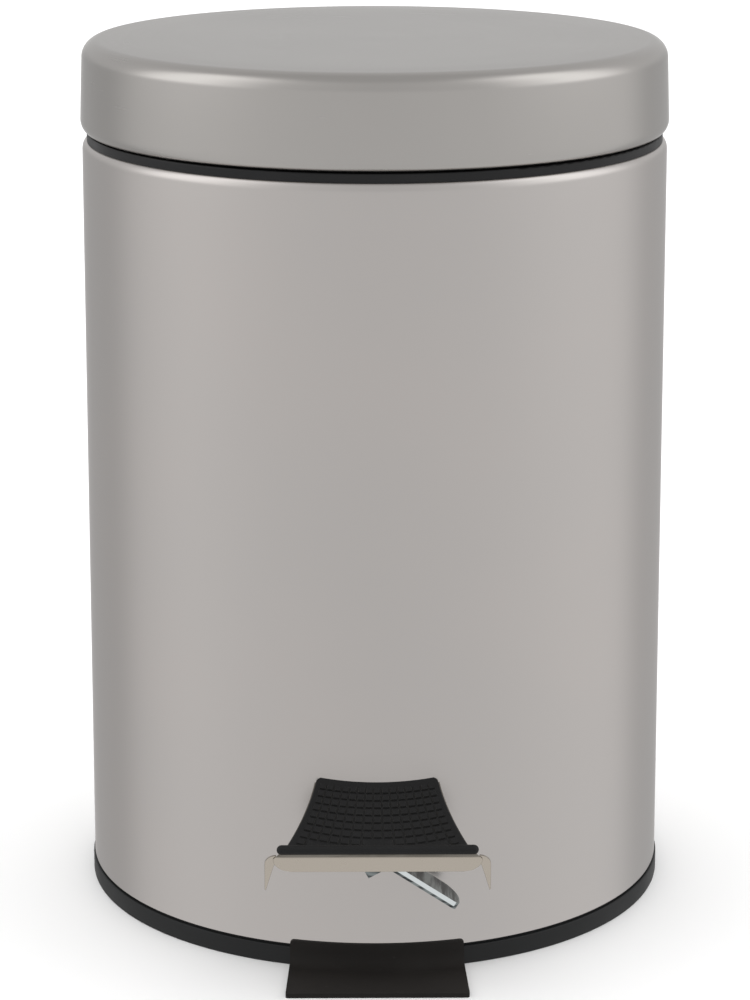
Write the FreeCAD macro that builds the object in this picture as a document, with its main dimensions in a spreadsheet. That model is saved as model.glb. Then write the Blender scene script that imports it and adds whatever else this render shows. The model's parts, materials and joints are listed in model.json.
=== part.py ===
"""Three-litre pedal bin: a stainless cylinder with a hinged lid, a bucket and a pedal linkage.

Origin: on the cylinder's axis, at floor level. +Z is up, the pedal points to -Y, the lid hinge is at +Y.
Millimetres and degrees. The linkage is shown at rest: pedal up, lid shut.
"""

import FreeCAD, Part
import math
import os
from types import SimpleNamespace

import Sketcher
from FreeCAD import Placement, Rotation, Vector

# ---------------------------------------------------------------- driving dimensions

DIMENSIONS = {
    # stainless body
    "body_radius": 84.5,
    "body_sheet": 0.6,
    "body_top": 221.0,
    "body_curl_width": 2.6,
    "body_curl_drop": 1.9,
    "body_curl_round": 1.4,
    "body_curl_inner": 0.9,
    "body_curl_under": 0.8,
    # plastic base
    "base_radius": 84.9,
    "base_ledge": 6.1,
    "base_floor": 3.0,
    "base_recess": 0.8,
    "base_rim_inside": 76.0,
    "base_pad_radius": 30.0,
    "base_upstand_top": 16.0,
    "base_upstand_wall": 2.0,
    "base_upstand_play": 0.1,
    "base_edge": 0.3,
    "block_radius": 24.0,
    "block_top": 8.0,
    # anti-tip foot in front
    "foot_half_width": 24.2,
    "foot_flare": 0.9,
    "foot_reach": 104.0,
    "foot_plate": 1.3,
    "foot_wall": 1.1,
    "foot_top": 8.1,
    "foot_root": 76.0,
    "foot_corner": 0.8,
    "foot_shoulder": 1.3,
    # lid
    "lid_radius": 85.0,
    "lid_taper": 0.6,
    "lid_sheet": 0.7,
    "lid_bottom": 223.8,
    "lid_top": 250.0,
    "lid_shoulder": 5.0,
    "lid_roll_width": 2.6,
    "lid_roll_round": 2.2,
    # ring between body and lid
    "ring_radius": 83.2,
    "ring_shoulder_top": 223.5,
    "ring_collar_radius": 80.6,
    "ring_collar_wall": 1.4,
    "ring_collar_top": 227.5,
    "ring_ledge_inside": 74.4,
    "ring_ledge": 1.8,
    "ring_skirt_bottom": 207.0,
    "ring_skirt_wall": 1.6,
    "ring_skirt_play": 0.4,
    "ring_edge": 0.5,
    "ring_collar_edge": 0.4,
    "rear_gap": 11.0,
    # bucket and its wire handle
    "bucket_floor_radius": 69.5,
    "bucket_mouth_radius": 73.6,
    "bucket_wall": 1.3,
    "bucket_bottom": 50.0,
    "bucket_ledge": 222.0,
    "bucket_flange_radius": 78.8,
    "bucket_flange": 1.3,
    "bucket_foot_round": 3.0,
    "bucket_heel_round": 1.8,
    "lug_inside": 72.4,
    "lug_wall": 1.8,
    "lug_radius": 3.2,
    "bail_radius": 76.6,
    "bail_wire": 1.4,
    "bail_bend": 2.0,
    "bail_lift": 1.9,
    "bail_hook": 0.8,
    # lever and its fulcrum
    "fulcrum_y": 7.0,
    "fulcrum_z": 30.0,
    "lever_half_width": 6.0,
    "lever_sheet": 1.8,
    "lever_rise": 5.0,
    "lever_crown_half": 8.0,
    "lever_knee": 17.0,
    "lever_tip": 2.1,
    "lever_tail_back": 5.3,
    "lever_tail_lift": 4.2,
    "tail_length": 11.0,
    "tail_radius": 3.2,
    "tail_rise": 3.6,
    "ear_sheet": 1.5,
    "pivot_pin": 2.0,
    "pivot_stub": 1.8,
    "pivot_head": 3.4,
    "pivot_head_width": 1.2,
    "pivot_clip": 3.6,
    "pivot_clip_width": 0.9,
    "pivot_ear": 4.8,
    "press_angle": 11.06,
    "rear_arm": 72.64,
    # push rod and the lid's crank
    "rod": 1.5,
    "rod_bend": 3.0,
    "rod_leg_end": 2.3,
    "cap": 2.8,
    "cap_gap": 0.4,
    "cap_width": 1.2,
    "crank_offset": 10.0,
    "crank_swing": 35.0,
    "crank_half_height": 3.45,
    "crank_length": 15.4,
    "crank_inner": 3.8,
    "crank_slot_play": 0.55,
    "crank_slot_end": 0.3,
    "hinge_z": 220.0,
    "hinge_pin": 1.5,
    "hinge_ear": 3.4,
    "hinge_head": 2.6,
    "hinge_head_width": 1.0,
    "hinge_stub": 1.6,
    "hinge_clip": 2.8,
    "hinge_clip_width": 0.8,
    "play": 0.05,
    # pedal
    "pedal_tilt": 32.0,
    "pedal_front_y": -105.5,
    "pedal_front_z": 41.4,
    "pedal_back_radius": 86.2,
    "pedal_back_half": 16.3,
    "pedal_neck_half": 25.2,
    "pedal_front_half": 30.5,
    "pedal_bar": 2.2,
    "pedal_sheet": 0.8,
    "pedal_length": 25.0,
    "lip_half_width": 28.6,
    "lip_height": 4.7,
    "lip_corner": 4.0,
    "pedal_ear_depth": 8.4,
    "pedal_ear_set": 0.4,
    "pedal_ear_tip": 0.8,
    "pad_sheet": 1.5,
    "pad_bead": 1.3,
    "pad_bead_half": 27.6,
    "pad_bead_along": 1.2,
    "pad_inset": 0.4,
    # stop strip under the pedal
    "stop_sheet": 2.0,
    "stop_front_y": -97.0,
    "stop_depth": 9.5,
    "stop_apex_x": 2.75,
    "stop_apex_z": 34.5,
    "stop_right_angle": 33.2,
    "stop_right_leg": 22.2,
    "stop_left_angle": 28.6,
    "stop_left_leg": 5.9,
    "stop_tip_back": 5.5,
    "stop_tip_front": 1.6,
    "stop_flange_margin": 3.0,
    "rivet": 1.6,
    "rivet_head": 3.0,
    "rivet_head_height": 0.9,
    "rivet_front": 7.0,
    "rivet_back": 15.0,
    "rivet_aside": 2.0,
    # openings in the steel body
    "slot_half_width": 6.8,
    "slot_bottom": 30.0,
    "slot_top": 51.3,
    "notch_half_width": 8.6,
    "notch_bottom": 211.0,
    # brackets, screws and guides
    "screw": 1.4,
    "screw_spread": 11.0,
    "bracket_inner": 6.6,
    "bracket_ear": 5.5,
    "bracket_margin": 4.5,
    "screw_head": 1.8,
    "screw_slot": 0.4,
    "bracket_bottom": 188.0,
    "bracket_height": 22.5,
    "bracket_sheet": 1.2,
    "bracket_lug": 7.4,
    "bracket_lug_foot": 14.0,
    "bracket_rivet_low": 5.0,
    "bracket_rivet_high": 17.0,
    "arm_low": 4.0,
    "arm_high": 19.0,
    "arm_sheet": 1.2,
    "arm_margin": 3.0,
    "arm_lug_foot": 5.0,
    "arm_rivet_low": 8.0,
    "arm_rivet_high": 15.0,
    "rod_hole_play": 0.35,
    "guide_low": 60.0,
    "guide_high": 162.0,
    "guide_height": 12.0,
    "guide_angle": 6.0,
    "guide_left": 5.0,
    "guide_right": 13.0,
    "guide_depth": 3.2,
    "guide_rivet": 1.2,
}

document = FreeCAD.newDocument("PedalBin")
sheet = document.addObject("Spreadsheet::Sheet", "Sheet")
for row, (alias, value) in enumerate(DIMENSIONS.items(), start=1):
    sheet.set(f"A{row}", alias.replace("_", " "))
    sheet.set(f"B{row}", str(value))
    sheet.setAlias(f"B{row}", alias)
document.recompute()


class Size:
    """A length or angle with the sheet expression that gives it, so both come from one formula."""

    def __init__(self, value, text):
        self.value = float(value)
        self.text = text

    def __add__(self, other):
        other = as_size(other)
        return Size(self.value + other.value, f"({self.text} + {other.text})")

    def __sub__(self, other):
        other = as_size(other)
        return Size(self.value - other.value, f"({self.text} - {other.text})")

    def __mul__(self, other):
        other = as_size(other)
        return Size(self.value * other.value, f"({self.text} * {other.text})")

    def __truediv__(self, other):
        other = as_size(other)
        return Size(self.value / other.value, f"({self.text} / {other.text})")

    def __neg__(self):
        return Size(-self.value, f"(0 - {self.text})")

    def __radd__(self, other):
        return as_size(other) + self

    def __rsub__(self, other):
        return as_size(other) - self

    __rmul__ = __mul__


def as_size(number):
    """A Size as it is, and a plain number as a Size."""
    return number if isinstance(number, Size) else Size(number, repr(float(number)))


def sine(angle):
    return Size(math.sin(math.radians(angle.value)), f"sin({angle.text})")


def cosine(angle):
    return Size(math.cos(math.radians(angle.value)), f"cos({angle.text})")


def tangent(angle):
    return Size(math.tan(math.radians(angle.value)), f"tan({angle.text})")


d = SimpleNamespace(**{name: Size(sheet.get(name), f"Sheet.{name}") for name in DIMENSIONS})

# ---------------------------------------------------------------- derived sizes

ORIGIN = as_size(0)
CUT = 200  # a cutting block's size where it only has to reach past the part
PAST = 5  # how far a cutting tool runs past the face that it cuts
body_inside = d.body_radius - d.body_sheet
half_press = d.press_angle / 2
rod_y = d.fulcrum_y + d.rear_arm * (1 + cosine(half_press)) / 2
rod_low = d.fulcrum_z - d.rear_arm * sine(half_press)
rod_high = d.hinge_z - d.crank_offset * tangent(d.crank_swing)
hinge_y = rod_y + d.crank_offset
crank_outer = d.crank_inner + d.ear_sheet
bracket_outer = d.bracket_lug + d.ear_sheet
hole_from = d.body_radius - 2 * PAST
hole_to = d.body_radius + 2 * PAST
bail_z = d.bucket_ledge + d.bucket_flange + d.bail_lift
bail_y = d.bail_bend
slope = tangent(d.pedal_tilt)


def pedal_underside(y):
    """Height of the pedal plate's underside at depth y."""
    top = d.pedal_front_z + slope * (y - d.pedal_front_y)
    return top - d.pedal_sheet / cosine(d.pedal_tilt)


# ---------------------------------------------------------------- modelling helpers


def bind(thing, **sizes):
    """Sets properties and binds each to its sheet expression."""
    for name, size in sizes.items():
        size = as_size(size)
        setattr(thing, name, size.value)
        thing.setExpression(name, size.text)
    return thing


def place(thing, x=0, y=0, z=0, rotation=None):
    """Places a shape at x, y, z, bound to the sheet, in a fixed rotation."""
    at = [as_size(v) for v in (x, y, z)]
    thing.Placement = Placement(Vector(*(v.value for v in at)), rotation or Rotation())
    for letter, size in zip("xyz", at):
        thing.setExpression(f"Placement.Base.{letter}", size.text)
    return thing


def tilt(thing, x, y, z, angle):
    """Places a shape at x, y, z, turned about X by an angle from the sheet."""
    place(thing, x, y, z, Rotation(Vector(1, 0, 0), angle.value))
    thing.setExpression("Placement.Rotation.Angle", angle.text)
    return thing


def box(name, x, y, z):
    """A box from (low, high) pairs along each axis."""
    made = document.addObject("Part::Box", name)
    bind(made, Length=x[1] - x[0], Width=y[1] - y[0], Height=z[1] - z[0])
    return place(made, x[0], y[0], z[0])


def upright(name, radius, low, high, x=0, y=0):
    """A cylinder along Z, from height low to height high."""
    made = document.addObject("Part::Cylinder", name)
    bind(made, Radius=radius, Height=high - low)
    return place(made, x, y, low)


def crosswise(name, radius, low, high, y=0, z=0):
    """A cylinder along X, from x low to x high."""
    made = document.addObject("Part::Cylinder", name)
    bind(made, Radius=radius, Height=high - low)
    return place(made, low, y, z, Rotation(Vector(0, 1, 0), 90))


def radial(name, radius, low, high, angle, z):
    """A cylinder that points straight out from Z, turned by an angle from +Y, from radius low to high."""
    made = document.addObject("Part::Cylinder", name)
    bind(made, Radius=radius, Height=high - low)
    angle = as_size(angle)
    outward = Rotation(Vector(0, 0, 1), angle.value) * Rotation(Vector(1, 0, 0), -90)
    return place(made, -low * sine(angle), low * cosine(angle), z, outward)


def fuse(name, *shapes):
    made = document.addObject("Part::MultiFuse", name)
    made.Shapes = list(shapes)
    return made


def cut(name, base, *tools):
    tool = tools[0] if len(tools) == 1 else fuse(name + "_tools", *tools)
    made = document.addObject("Part::Cut", name)
    made.Base = base
    made.Tool = tool
    return made


def common(name, *shapes):
    made = document.addObject("Part::MultiCommon", name)
    made.Shapes = list(shapes)
    return made


def group(name, *solids):
    """Separate solids that share one node."""
    made = document.addObject("Part::Compound", name)
    made.Links = list(solids)
    return made


def outline(body, plane, name, points):
    """A closed sketch through points on one of the body's own planes, each bound to the sheet."""
    support = next(f for f in body.Origin.OriginFeatures if f.Role == plane)
    sketch = body.newObject("Sketcher::SketchObject", name)
    sketch.AttachmentSupport = [(support, "")]
    sketch.MapMode = "FlatFace"
    places = [(as_size(a), as_size(b)) for a, b in points]
    count = len(places)
    for i, (a, b) in enumerate(places):
        c, e = places[(i + 1) % count]
        sketch.addGeometry(Part.LineSegment(Vector(a.value, b.value, 0), Vector(c.value, e.value, 0)))
    for i, (a, b) in enumerate(places):
        sketch.addConstraint(Sketcher.Constraint("Coincident", (i - 1) % count, 2, i, 1))
        for kind, axis, size in (("DistanceX", -2, a), ("DistanceY", -1, b)):
            if abs(size.value) < 1e-9:
                sketch.addConstraint(Sketcher.Constraint("PointOnObject", i, 1, axis))
                continue
            index = sketch.addConstraint(Sketcher.Constraint(kind, -1, 1, i, 1, size.value))
            sketch.setExpression(f"Constraints[{index}]", size.text)
    return sketch


def turned(name, points):
    """A body of revolution about Z from its (radius, height) section."""
    body = document.addObject("PartDesign::Body", name)
    sketch = outline(body, "XZ_Plane", name + "_section", points)
    revolution = body.newObject("PartDesign::Revolution", name + "_turn")
    revolution.Profile = sketch
    revolution.ReferenceAxis = (sketch, ["V_Axis"])
    revolution.Angle = 360
    document.recompute()
    return body


def extruded(name, plane, points, thickness, offset=0):
    """A body made from an outline, extruded along its plane's normal from offset."""
    body = document.addObject("PartDesign::Body", name)
    sketch = outline(body, plane, name + "_outline", points)
    offset = as_size(offset)
    sketch.AttachmentOffset = Placement(Vector(0, 0, offset.value), Rotation())
    sketch.setExpression("AttachmentOffset.Base.z", offset.text)
    pad = body.newObject("PartDesign::Pad", name + "_pad")
    pad.Profile = sketch
    bind(pad, Length=thickness)
    document.recompute()
    return body


def ring(radius, height):
    """Tests for a circular edge about Z of that radius and height."""
    want = (as_size(radius).value, as_size(height).value)

    def test(edge):
        if not isinstance(edge.Curve, Part.Circle):
            return False
        here = (edge.Curve.Radius, edge.Curve.Center.z)
        return all(abs(a - b) < 0.01 for a, b in zip(here, want))

    return test


def middle(x=None, y=None, z=None):
    """Tests for an edge whose middle has the given coordinates."""

    def test(edge):
        here = edge.CenterOfMass
        pairs = zip((here.x, here.y, here.z), (x, y, z))
        return all(b is None or abs(a - as_size(b).value) < 0.01 for a, b in pairs)

    return test


def rounded(body, name, radius, *tests):
    """Rounds the edges of a body that pass any of the tests."""
    base = body.Tip
    edges = enumerate(base.Shape.Edges, start=1)
    chosen = [f"Edge{i}" for i, edge in edges if any(test(edge) for test in tests)]
    if len(chosen) < len(tests):
        raise ValueError(f"{name}: found {len(chosen)} edges for {len(tests)} tests")
    fillet = body.newObject("PartDesign::Fillet", name)
    fillet.Base = (base, chosen)
    bind(fillet, Radius=radius)
    document.recompute()
    return body


def bend(name, wire, radius, sweep, x, y, z, rotation=None):
    """An arc of round wire: a torus swept from +X towards +Y, in a fixed rotation."""
    made = document.addObject("Part::Torus", name)
    bind(made, Radius1=radius, Radius2=wire)
    made.Angle3 = sweep
    return place(made, x, y, z, rotation)


def washer(name, inner, outer, low, high, y, z):
    """A ring on a cross shaft, from x low to x high."""
    disc = crosswise(name + "_disc", outer, low, high, y, z)
    return cut(name, disc, crosswise(name + "_eye", inner, low, high, y, z))


# ---------------------------------------------------------------- base and foot


def base_tray():
    """The base: a rim and a pad on the floor, an upstand inside the steel and a block for the fulcrum."""
    upstand = body_inside - d.base_upstand_play
    section = [
        (0, 0),
        (d.base_pad_radius, 0),
        (d.base_pad_radius, d.base_recess),
        (d.base_rim_inside, d.base_recess),
        (d.base_rim_inside, 0),
        (d.base_radius, 0),
        (d.base_radius, d.base_ledge),
        (upstand, d.base_ledge),
        (upstand, d.base_upstand_top),
        (upstand - d.base_upstand_wall, d.base_upstand_top),
        (upstand - d.base_upstand_wall, d.base_floor),
        (d.block_radius, d.base_floor),
        (d.block_radius, d.block_top),
        (0, d.block_top),
    ]
    tray = turned("base_body", section)
    rounded(tray, "base_edges", d.base_edge, ring(d.base_radius, 0), ring(d.base_radius, d.base_ledge))
    holes = [
        upright(f"base_screw_hole_{i}", d.screw, d.base_floor / 2, d.block_top, 0, y)
        for i, y in enumerate(screw_places())
    ]
    return cut("base_tray", tray, *holes)


def screw_places():
    """The y of each screw that holds the fulcrum bracket."""
    return d.fulcrum_y - d.screw_spread, d.fulcrum_y + d.screw_spread


def front_foot():
    """The anti-tip foot: a curved wall against the base and a thin plate out over the floor."""
    inner = d.base_radius + d.play
    flare = d.foot_half_width + d.foot_flare
    plate_outline = [
        (-d.foot_half_width, -d.foot_root),
        (-flare, -d.foot_reach),
        (flare, -d.foot_reach),
        (d.foot_half_width, -d.foot_root),
    ]
    plate = extruded("foot_plate", "XY_Plane", plate_outline, d.foot_plate)
    corners = [middle(x=x, y=-d.foot_reach) for x in (-flare, flare)]
    rounded(plate, "foot_corners", d.foot_corner, *corners)
    wall_outline = [
        (-d.foot_half_width, 0),
        (d.foot_half_width, 0),
        (d.foot_half_width, d.foot_top),
        (-d.foot_half_width, d.foot_top),
    ]
    block = extruded("foot_block", "XZ_Plane", wall_outline, d.foot_reach - d.foot_root, d.foot_root)
    shoulders = [middle(x=x, z=d.foot_top) for x in (-d.foot_half_width, d.foot_half_width)]
    rounded(block, "foot_shoulders", d.foot_shoulder, *shoulders)
    wall = common("foot_wall", block, upright("foot_face", inner + d.foot_wall, 0, d.foot_top))
    around_base = upright("foot_bore", inner, 0, d.base_ledge)
    around_steel = upright("foot_steel_bore", d.body_radius + d.play, 0, d.foot_top)
    return cut("front_foot", fuse("foot_blank", plate, wall), around_base, around_steel)


# ---------------------------------------------------------------- body, ring and bucket


def body_shell():
    """The steel cylinder with its curled top edge, the lever's slot in front and the crank's notch behind."""
    curl_inside = d.body_radius - d.body_curl_width
    curl_bottom = d.body_top - d.body_curl_drop
    under_curl = d.body_top - d.body_sheet
    section = [
        (d.body_radius, d.base_ledge),
        (d.body_radius, d.body_top),
        (curl_inside, d.body_top),
        (curl_inside, curl_bottom),
        (curl_inside + d.body_sheet, curl_bottom),
        (curl_inside + d.body_sheet, under_curl),
        (body_inside, under_curl),
        (body_inside, d.base_ledge),
    ]
    shell = turned("shell_body", section)
    rounded(shell, "shell_top", d.body_curl_round, ring(d.body_radius, d.body_top))
    rounded(shell, "shell_curl", d.body_curl_inner, ring(curl_inside, d.body_top))
    rounded(shell, "shell_under", d.body_curl_under, ring(body_inside, under_curl))
    slot = box(
        "lever_slot",
        (-d.slot_half_width, d.slot_half_width),
        (-d.body_radius - PAST, -d.body_radius + 2 * PAST),
        (d.slot_bottom, d.slot_top),
    )
    notch = box(
        "crank_notch",
        (-d.notch_half_width, d.notch_half_width),
        (d.body_radius - 2 * PAST, d.body_radius + PAST),
        (d.notch_bottom, d.body_top + PAST),
    )
    return cut("body_shell", shell, slot, notch, *wall_holes("shell_hole", shell_rivets()))


def wall_holes(name, places):
    """Rivet holes through the wall at (angle, height) places."""
    return [
        radial(f"{name}_{i}", d.rivet, hole_from, hole_to, angle, z) for i, (angle, z) in enumerate(places)
    ]


def bracket_rivets():
    """(angle, height) of the rivets that hold the hinge bracket."""
    return [(0, d.bracket_bottom + d.bracket_rivet_low), (0, d.bracket_bottom + d.bracket_rivet_high)]


def guide_rivet_places():
    """(angle, height) of the rivet in each rod guide."""
    return [(-d.guide_angle, z + d.guide_height / 2) for z in (d.guide_low, d.guide_high)]


def shell_rivets():
    return bracket_rivets() + guide_rivet_places()


def rim_ring():
    """The plastic ring in the body's mouth: outer shoulder for the lid, collar, bucket ledge and skirt."""
    skirt_outside = d.body_radius - d.body_curl_width - d.ring_skirt_play
    collar_inside = d.ring_collar_radius - d.ring_collar_wall
    section = [
        (d.ring_radius, d.body_top),
        (d.ring_radius, d.ring_shoulder_top),
        (d.ring_collar_radius, d.ring_shoulder_top),
        (d.ring_collar_radius, d.ring_collar_top),
        (collar_inside, d.ring_collar_top),
        (collar_inside, d.bucket_ledge),
        (d.ring_ledge_inside, d.bucket_ledge),
        (d.ring_ledge_inside, d.bucket_ledge - d.ring_ledge),
        (skirt_outside - d.ring_skirt_wall, d.bucket_ledge - d.ring_ledge),
        (skirt_outside - d.ring_skirt_wall, d.ring_skirt_bottom),
        (skirt_outside, d.ring_skirt_bottom),
        (skirt_outside, d.body_top),
    ]
    whole = turned("ring_body", section)
    rounded(whole, "ring_rounding", d.ring_edge, ring(d.ring_radius, d.ring_shoulder_top))
    rounded(
        whole, "ring_collar_rounding", d.ring_collar_edge, ring(d.ring_collar_radius, d.ring_collar_top)
    )
    gap = box("ring_gap", (-d.rear_gap, d.rear_gap), (0, CUT), (d.ring_skirt_bottom, d.lid_top))
    return cut("rim_ring", whole, gap)


def inner_bucket():
    """The tapered bucket, hung by its flange, with two lugs for the wire handle."""
    mouth_inside = d.bucket_mouth_radius - d.bucket_wall
    flange_top = d.bucket_ledge + d.bucket_flange
    section = [
        (0, d.bucket_bottom),
        (d.bucket_floor_radius, d.bucket_bottom),
        (d.bucket_mouth_radius, d.bucket_ledge),
        (d.bucket_flange_radius, d.bucket_ledge),
        (d.bucket_flange_radius, flange_top),
        (mouth_inside, flange_top),
        (d.bucket_floor_radius - d.bucket_wall, d.bucket_bottom + d.bucket_wall),
        (0, d.bucket_bottom + d.bucket_wall),
    ]
    tub = turned("bucket_body", section)
    rounded(tub, "bucket_foot", d.bucket_foot_round, ring(d.bucket_floor_radius, d.bucket_bottom))
    heel = ring(d.bucket_floor_radius - d.bucket_wall, d.bucket_bottom + d.bucket_wall)
    rounded(tub, "bucket_heel", d.bucket_heel_round, heel)
    gap = box(
        "bucket_gap",
        (-d.rear_gap, d.rear_gap),
        (d.bucket_mouth_radius + 0.1, CUT),
        (d.bucket_ledge - 1, flange_top + 1),
    )
    lugs = []
    for side, low in (("right", d.lug_inside), ("left", -d.lug_inside - d.lug_wall)):
        across = (low, low + d.lug_wall)
        depth = (bail_y - d.lug_radius, bail_y + d.lug_radius)
        lugs.append(box(f"lug_{side}_foot", across, depth, (flange_top - d.bucket_flange / 2, bail_z)))
        lugs.append(crosswise(f"lug_{side}_top", d.lug_radius, *across, bail_y, bail_z))
    eyes = crosswise("lug_eyes", d.bail_wire + d.play, -CUT / 2, CUT / 2, bail_y, bail_z)
    return cut("inner_bucket", fuse("bucket_with_lugs", cut("bucket_notched", tub, gap), *lugs), eyes)


def bucket_handle():
    """The wire handle, folded down along the front of the bucket's flange."""
    reach = d.bail_radius - d.bail_bend
    half = bend("bail_arc", d.bail_wire, d.bail_radius, 180, 0, 0, bail_z, Rotation(Vector(0, 0, 1), 180))
    right = bend("bail_right", d.bail_wire, d.bail_bend, 90, reach, 0, bail_z)
    left = bend("bail_left", d.bail_wire, d.bail_bend, 90, -reach, 0, bail_z, Rotation(Vector(0, 0, 1), 90))
    hook = d.lug_inside - d.bail_hook
    right_hook = crosswise("bail_right_hook", d.bail_wire, hook, reach, bail_y, bail_z)
    left_hook = crosswise("bail_left_hook", d.bail_wire, -reach, -hook, bail_y, bail_z)
    return fuse("bucket_handle", half, right, left, right_hook, left_hook)


# ---------------------------------------------------------------- fulcrum and lever


def mirrored_ears(name, inner, radius, y, z, foot_z):
    """Two upright ears on either side of X = 0, rounded about (y, z), that run to foot_z."""
    shapes = []
    for side, low in (("right", as_size(inner)), ("left", -as_size(inner) - d.ear_sheet)):
        across = (low, low + d.ear_sheet)
        heights = (z, foot_z) if as_size(foot_z).value > as_size(z).value else (foot_z, z)
        shapes.append(box(f"{name}_{side}_plate", across, (y - radius, y + radius), heights))
        shapes.append(crosswise(f"{name}_{side}_eye", radius, *across, y, z))
    return shapes


def pivot_bracket():
    """The U bracket on the base that carries the lever's pin."""
    plate_top = d.block_top + d.ear_sheet
    half = d.bracket_inner + d.ear_sheet
    plate = box(
        "bracket_plate",
        (-half, half),
        (d.fulcrum_y - d.screw_spread - d.bracket_margin, d.fulcrum_y + d.screw_spread + d.bracket_margin),
        (d.block_top, plate_top),
    )
    ears = mirrored_ears("bracket", d.bracket_inner, d.bracket_ear, d.fulcrum_y, d.fulcrum_z, d.block_top)
    pin_hole = crosswise("bracket_bore", d.pivot_pin, -half, half, d.fulcrum_y, d.fulcrum_z)
    screw_holes = [
        upright(f"bracket_hole_{i}", d.screw, d.block_top, plate_top, 0, y)
        for i, y in enumerate(screw_places())
    ]
    return cut("pivot_bracket", fuse("bracket_blank", plate, *ears), pin_hole, *screw_holes)


def bracket_screws():
    """Two pan-head screws with a driver slot."""
    seat = d.block_top + d.ear_sheet
    screws = []
    for i, y in enumerate(screw_places()):
        core = upright(f"screw_{i}_core", d.screw, d.base_floor / 2, seat, 0, y)
        head = upright(f"screw_{i}_head", d.screw * 2, seat, seat + d.screw_head, 0, y)
        across = (-d.screw_slot, d.screw_slot)
        slot = box(f"screw_{i}_slot", across, (y - PAST, y + PAST), (seat + d.screw_head / 2, seat + PAST))
        screws.append(cut(f"screw_{i}", fuse(f"screw_{i}_blank", core, head), slot))
    return group("bracket_screws", *screws)


def pivot_pin():
    """The lever's pin: a head on the left and a plain end on the right, which the clip holds."""
    outer = d.bracket_inner + d.ear_sheet
    shank = crosswise("pivot_shank", d.pivot_pin, -outer, outer + d.pivot_stub, d.fulcrum_y, d.fulcrum_z)
    head = crosswise("pivot_cap", d.pivot_head, -outer - d.pivot_head_width, -outer, d.fulcrum_y, d.fulcrum_z)
    return fuse("pivot_pin", shank, head)


def pivot_pin_clip():
    outer = d.bracket_inner + d.ear_sheet
    outside = outer + d.pivot_clip_width
    return washer("pivot_pin_clip", d.pivot_pin, d.pivot_clip, outer, outside, d.fulcrum_y, d.fulcrum_z)


def lever_top_line():
    """The (y, z) points of the lever's upper face, from the rod to the front of the pedal."""
    crown = d.fulcrum_z + d.lever_rise
    knee = d.pedal_front_y + d.lever_knee
    tip = d.pedal_front_y + d.lever_tip
    return [
        (rod_y - d.lever_tail_back, rod_low + d.lever_tail_lift),
        (d.fulcrum_y + d.lever_crown_half, crown),
        (d.fulcrum_y - d.lever_crown_half, crown),
        (knee, pedal_underside(knee)),
        (tip, pedal_underside(tip)),
    ]


def on_slope(along, above):
    """(y, z) of a point in the pedal plate's own plane: along it from the front edge, and above it."""
    y = d.pedal_front_y + along * cosine(d.pedal_tilt) - above * sine(d.pedal_tilt)
    z = d.pedal_front_z + along * sine(d.pedal_tilt) + above * cosine(d.pedal_tilt)
    return y, z


def through_pedal(name, radius, along, low, high):
    """A cylinder square to the pedal plate, beside the stop's web, between two heights above the plate."""
    made = document.addObject("Part::Cylinder", name)
    bind(made, Radius=radius, Height=high - low)
    y, z = on_slope(as_size(along), as_size(low))
    return tilt(made, -d.rivet_aside, y, z, d.pedal_tilt)


def pedal_rivet_holes(name):
    return [
        through_pedal(f"{name}_{i}", d.rivet, along, as_size(-12), as_size(2))
        for i, along in enumerate((d.rivet_front, d.rivet_back))
    ]


def pedal_lever():
    """The bent steel strip from the push rod, over the fulcrum and out under the pedal plate."""
    top = lever_top_line()
    bottom = [(y, z - d.lever_sheet) for y, z in reversed(top)]
    strip = extruded("lever_strip", "YZ_Plane", top + bottom, 2 * d.lever_half_width, -d.lever_half_width)
    crown = d.fulcrum_z + d.lever_rise - d.lever_sheet / 2
    inner = d.lever_half_width - d.ear_sheet
    ears = mirrored_ears("lever", inner, d.pivot_ear, d.fulcrum_y, d.fulcrum_z, crown)
    across = (d.crank_inner, crank_outer)
    heights = (rod_low - d.tail_radius, rod_low + d.tail_rise)
    tail_plate = box("tail_plate", across, (rod_y - d.tail_length, rod_y), heights)
    tail_eye = crosswise("tail_eye", d.tail_radius, *across, rod_y, rod_low)
    rod_hole = crosswise("tail_bore", d.rod + d.rod_hole_play, *across, rod_y, rod_low)
    half = d.lever_half_width
    pin_hole = crosswise("lever_bore", d.pivot_pin + d.play, -half, half, d.fulcrum_y, d.fulcrum_z)
    blank = fuse("lever_blank", strip, *ears, tail_plate, tail_eye)
    return cut("pedal_lever", blank, rod_hole, pin_hole, *pedal_rivet_holes("lever_rivet_hole"))


# ---------------------------------------------------------------- pedal


def flared(right):
    """A symmetric outline in the pedal's own plane, from the points of its right side."""
    return right + [(-x, y) for x, y in reversed(right)]


def tilted_sheet(name, points, thickness, offset, back_radius):
    """A flat piece in the pedal's plane, whose back edge follows the wall of the bin."""
    flat = extruded(name + "_flat", "XY_Plane", points, thickness, offset)
    tilt(flat, 0, d.pedal_front_y, d.pedal_front_z, d.pedal_tilt)
    wall = upright(name + "_wall", back_radius, d.bucket_bottom - 30, d.bucket_bottom + 30)
    return cut(name + "_sheet", flat, wall)


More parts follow.
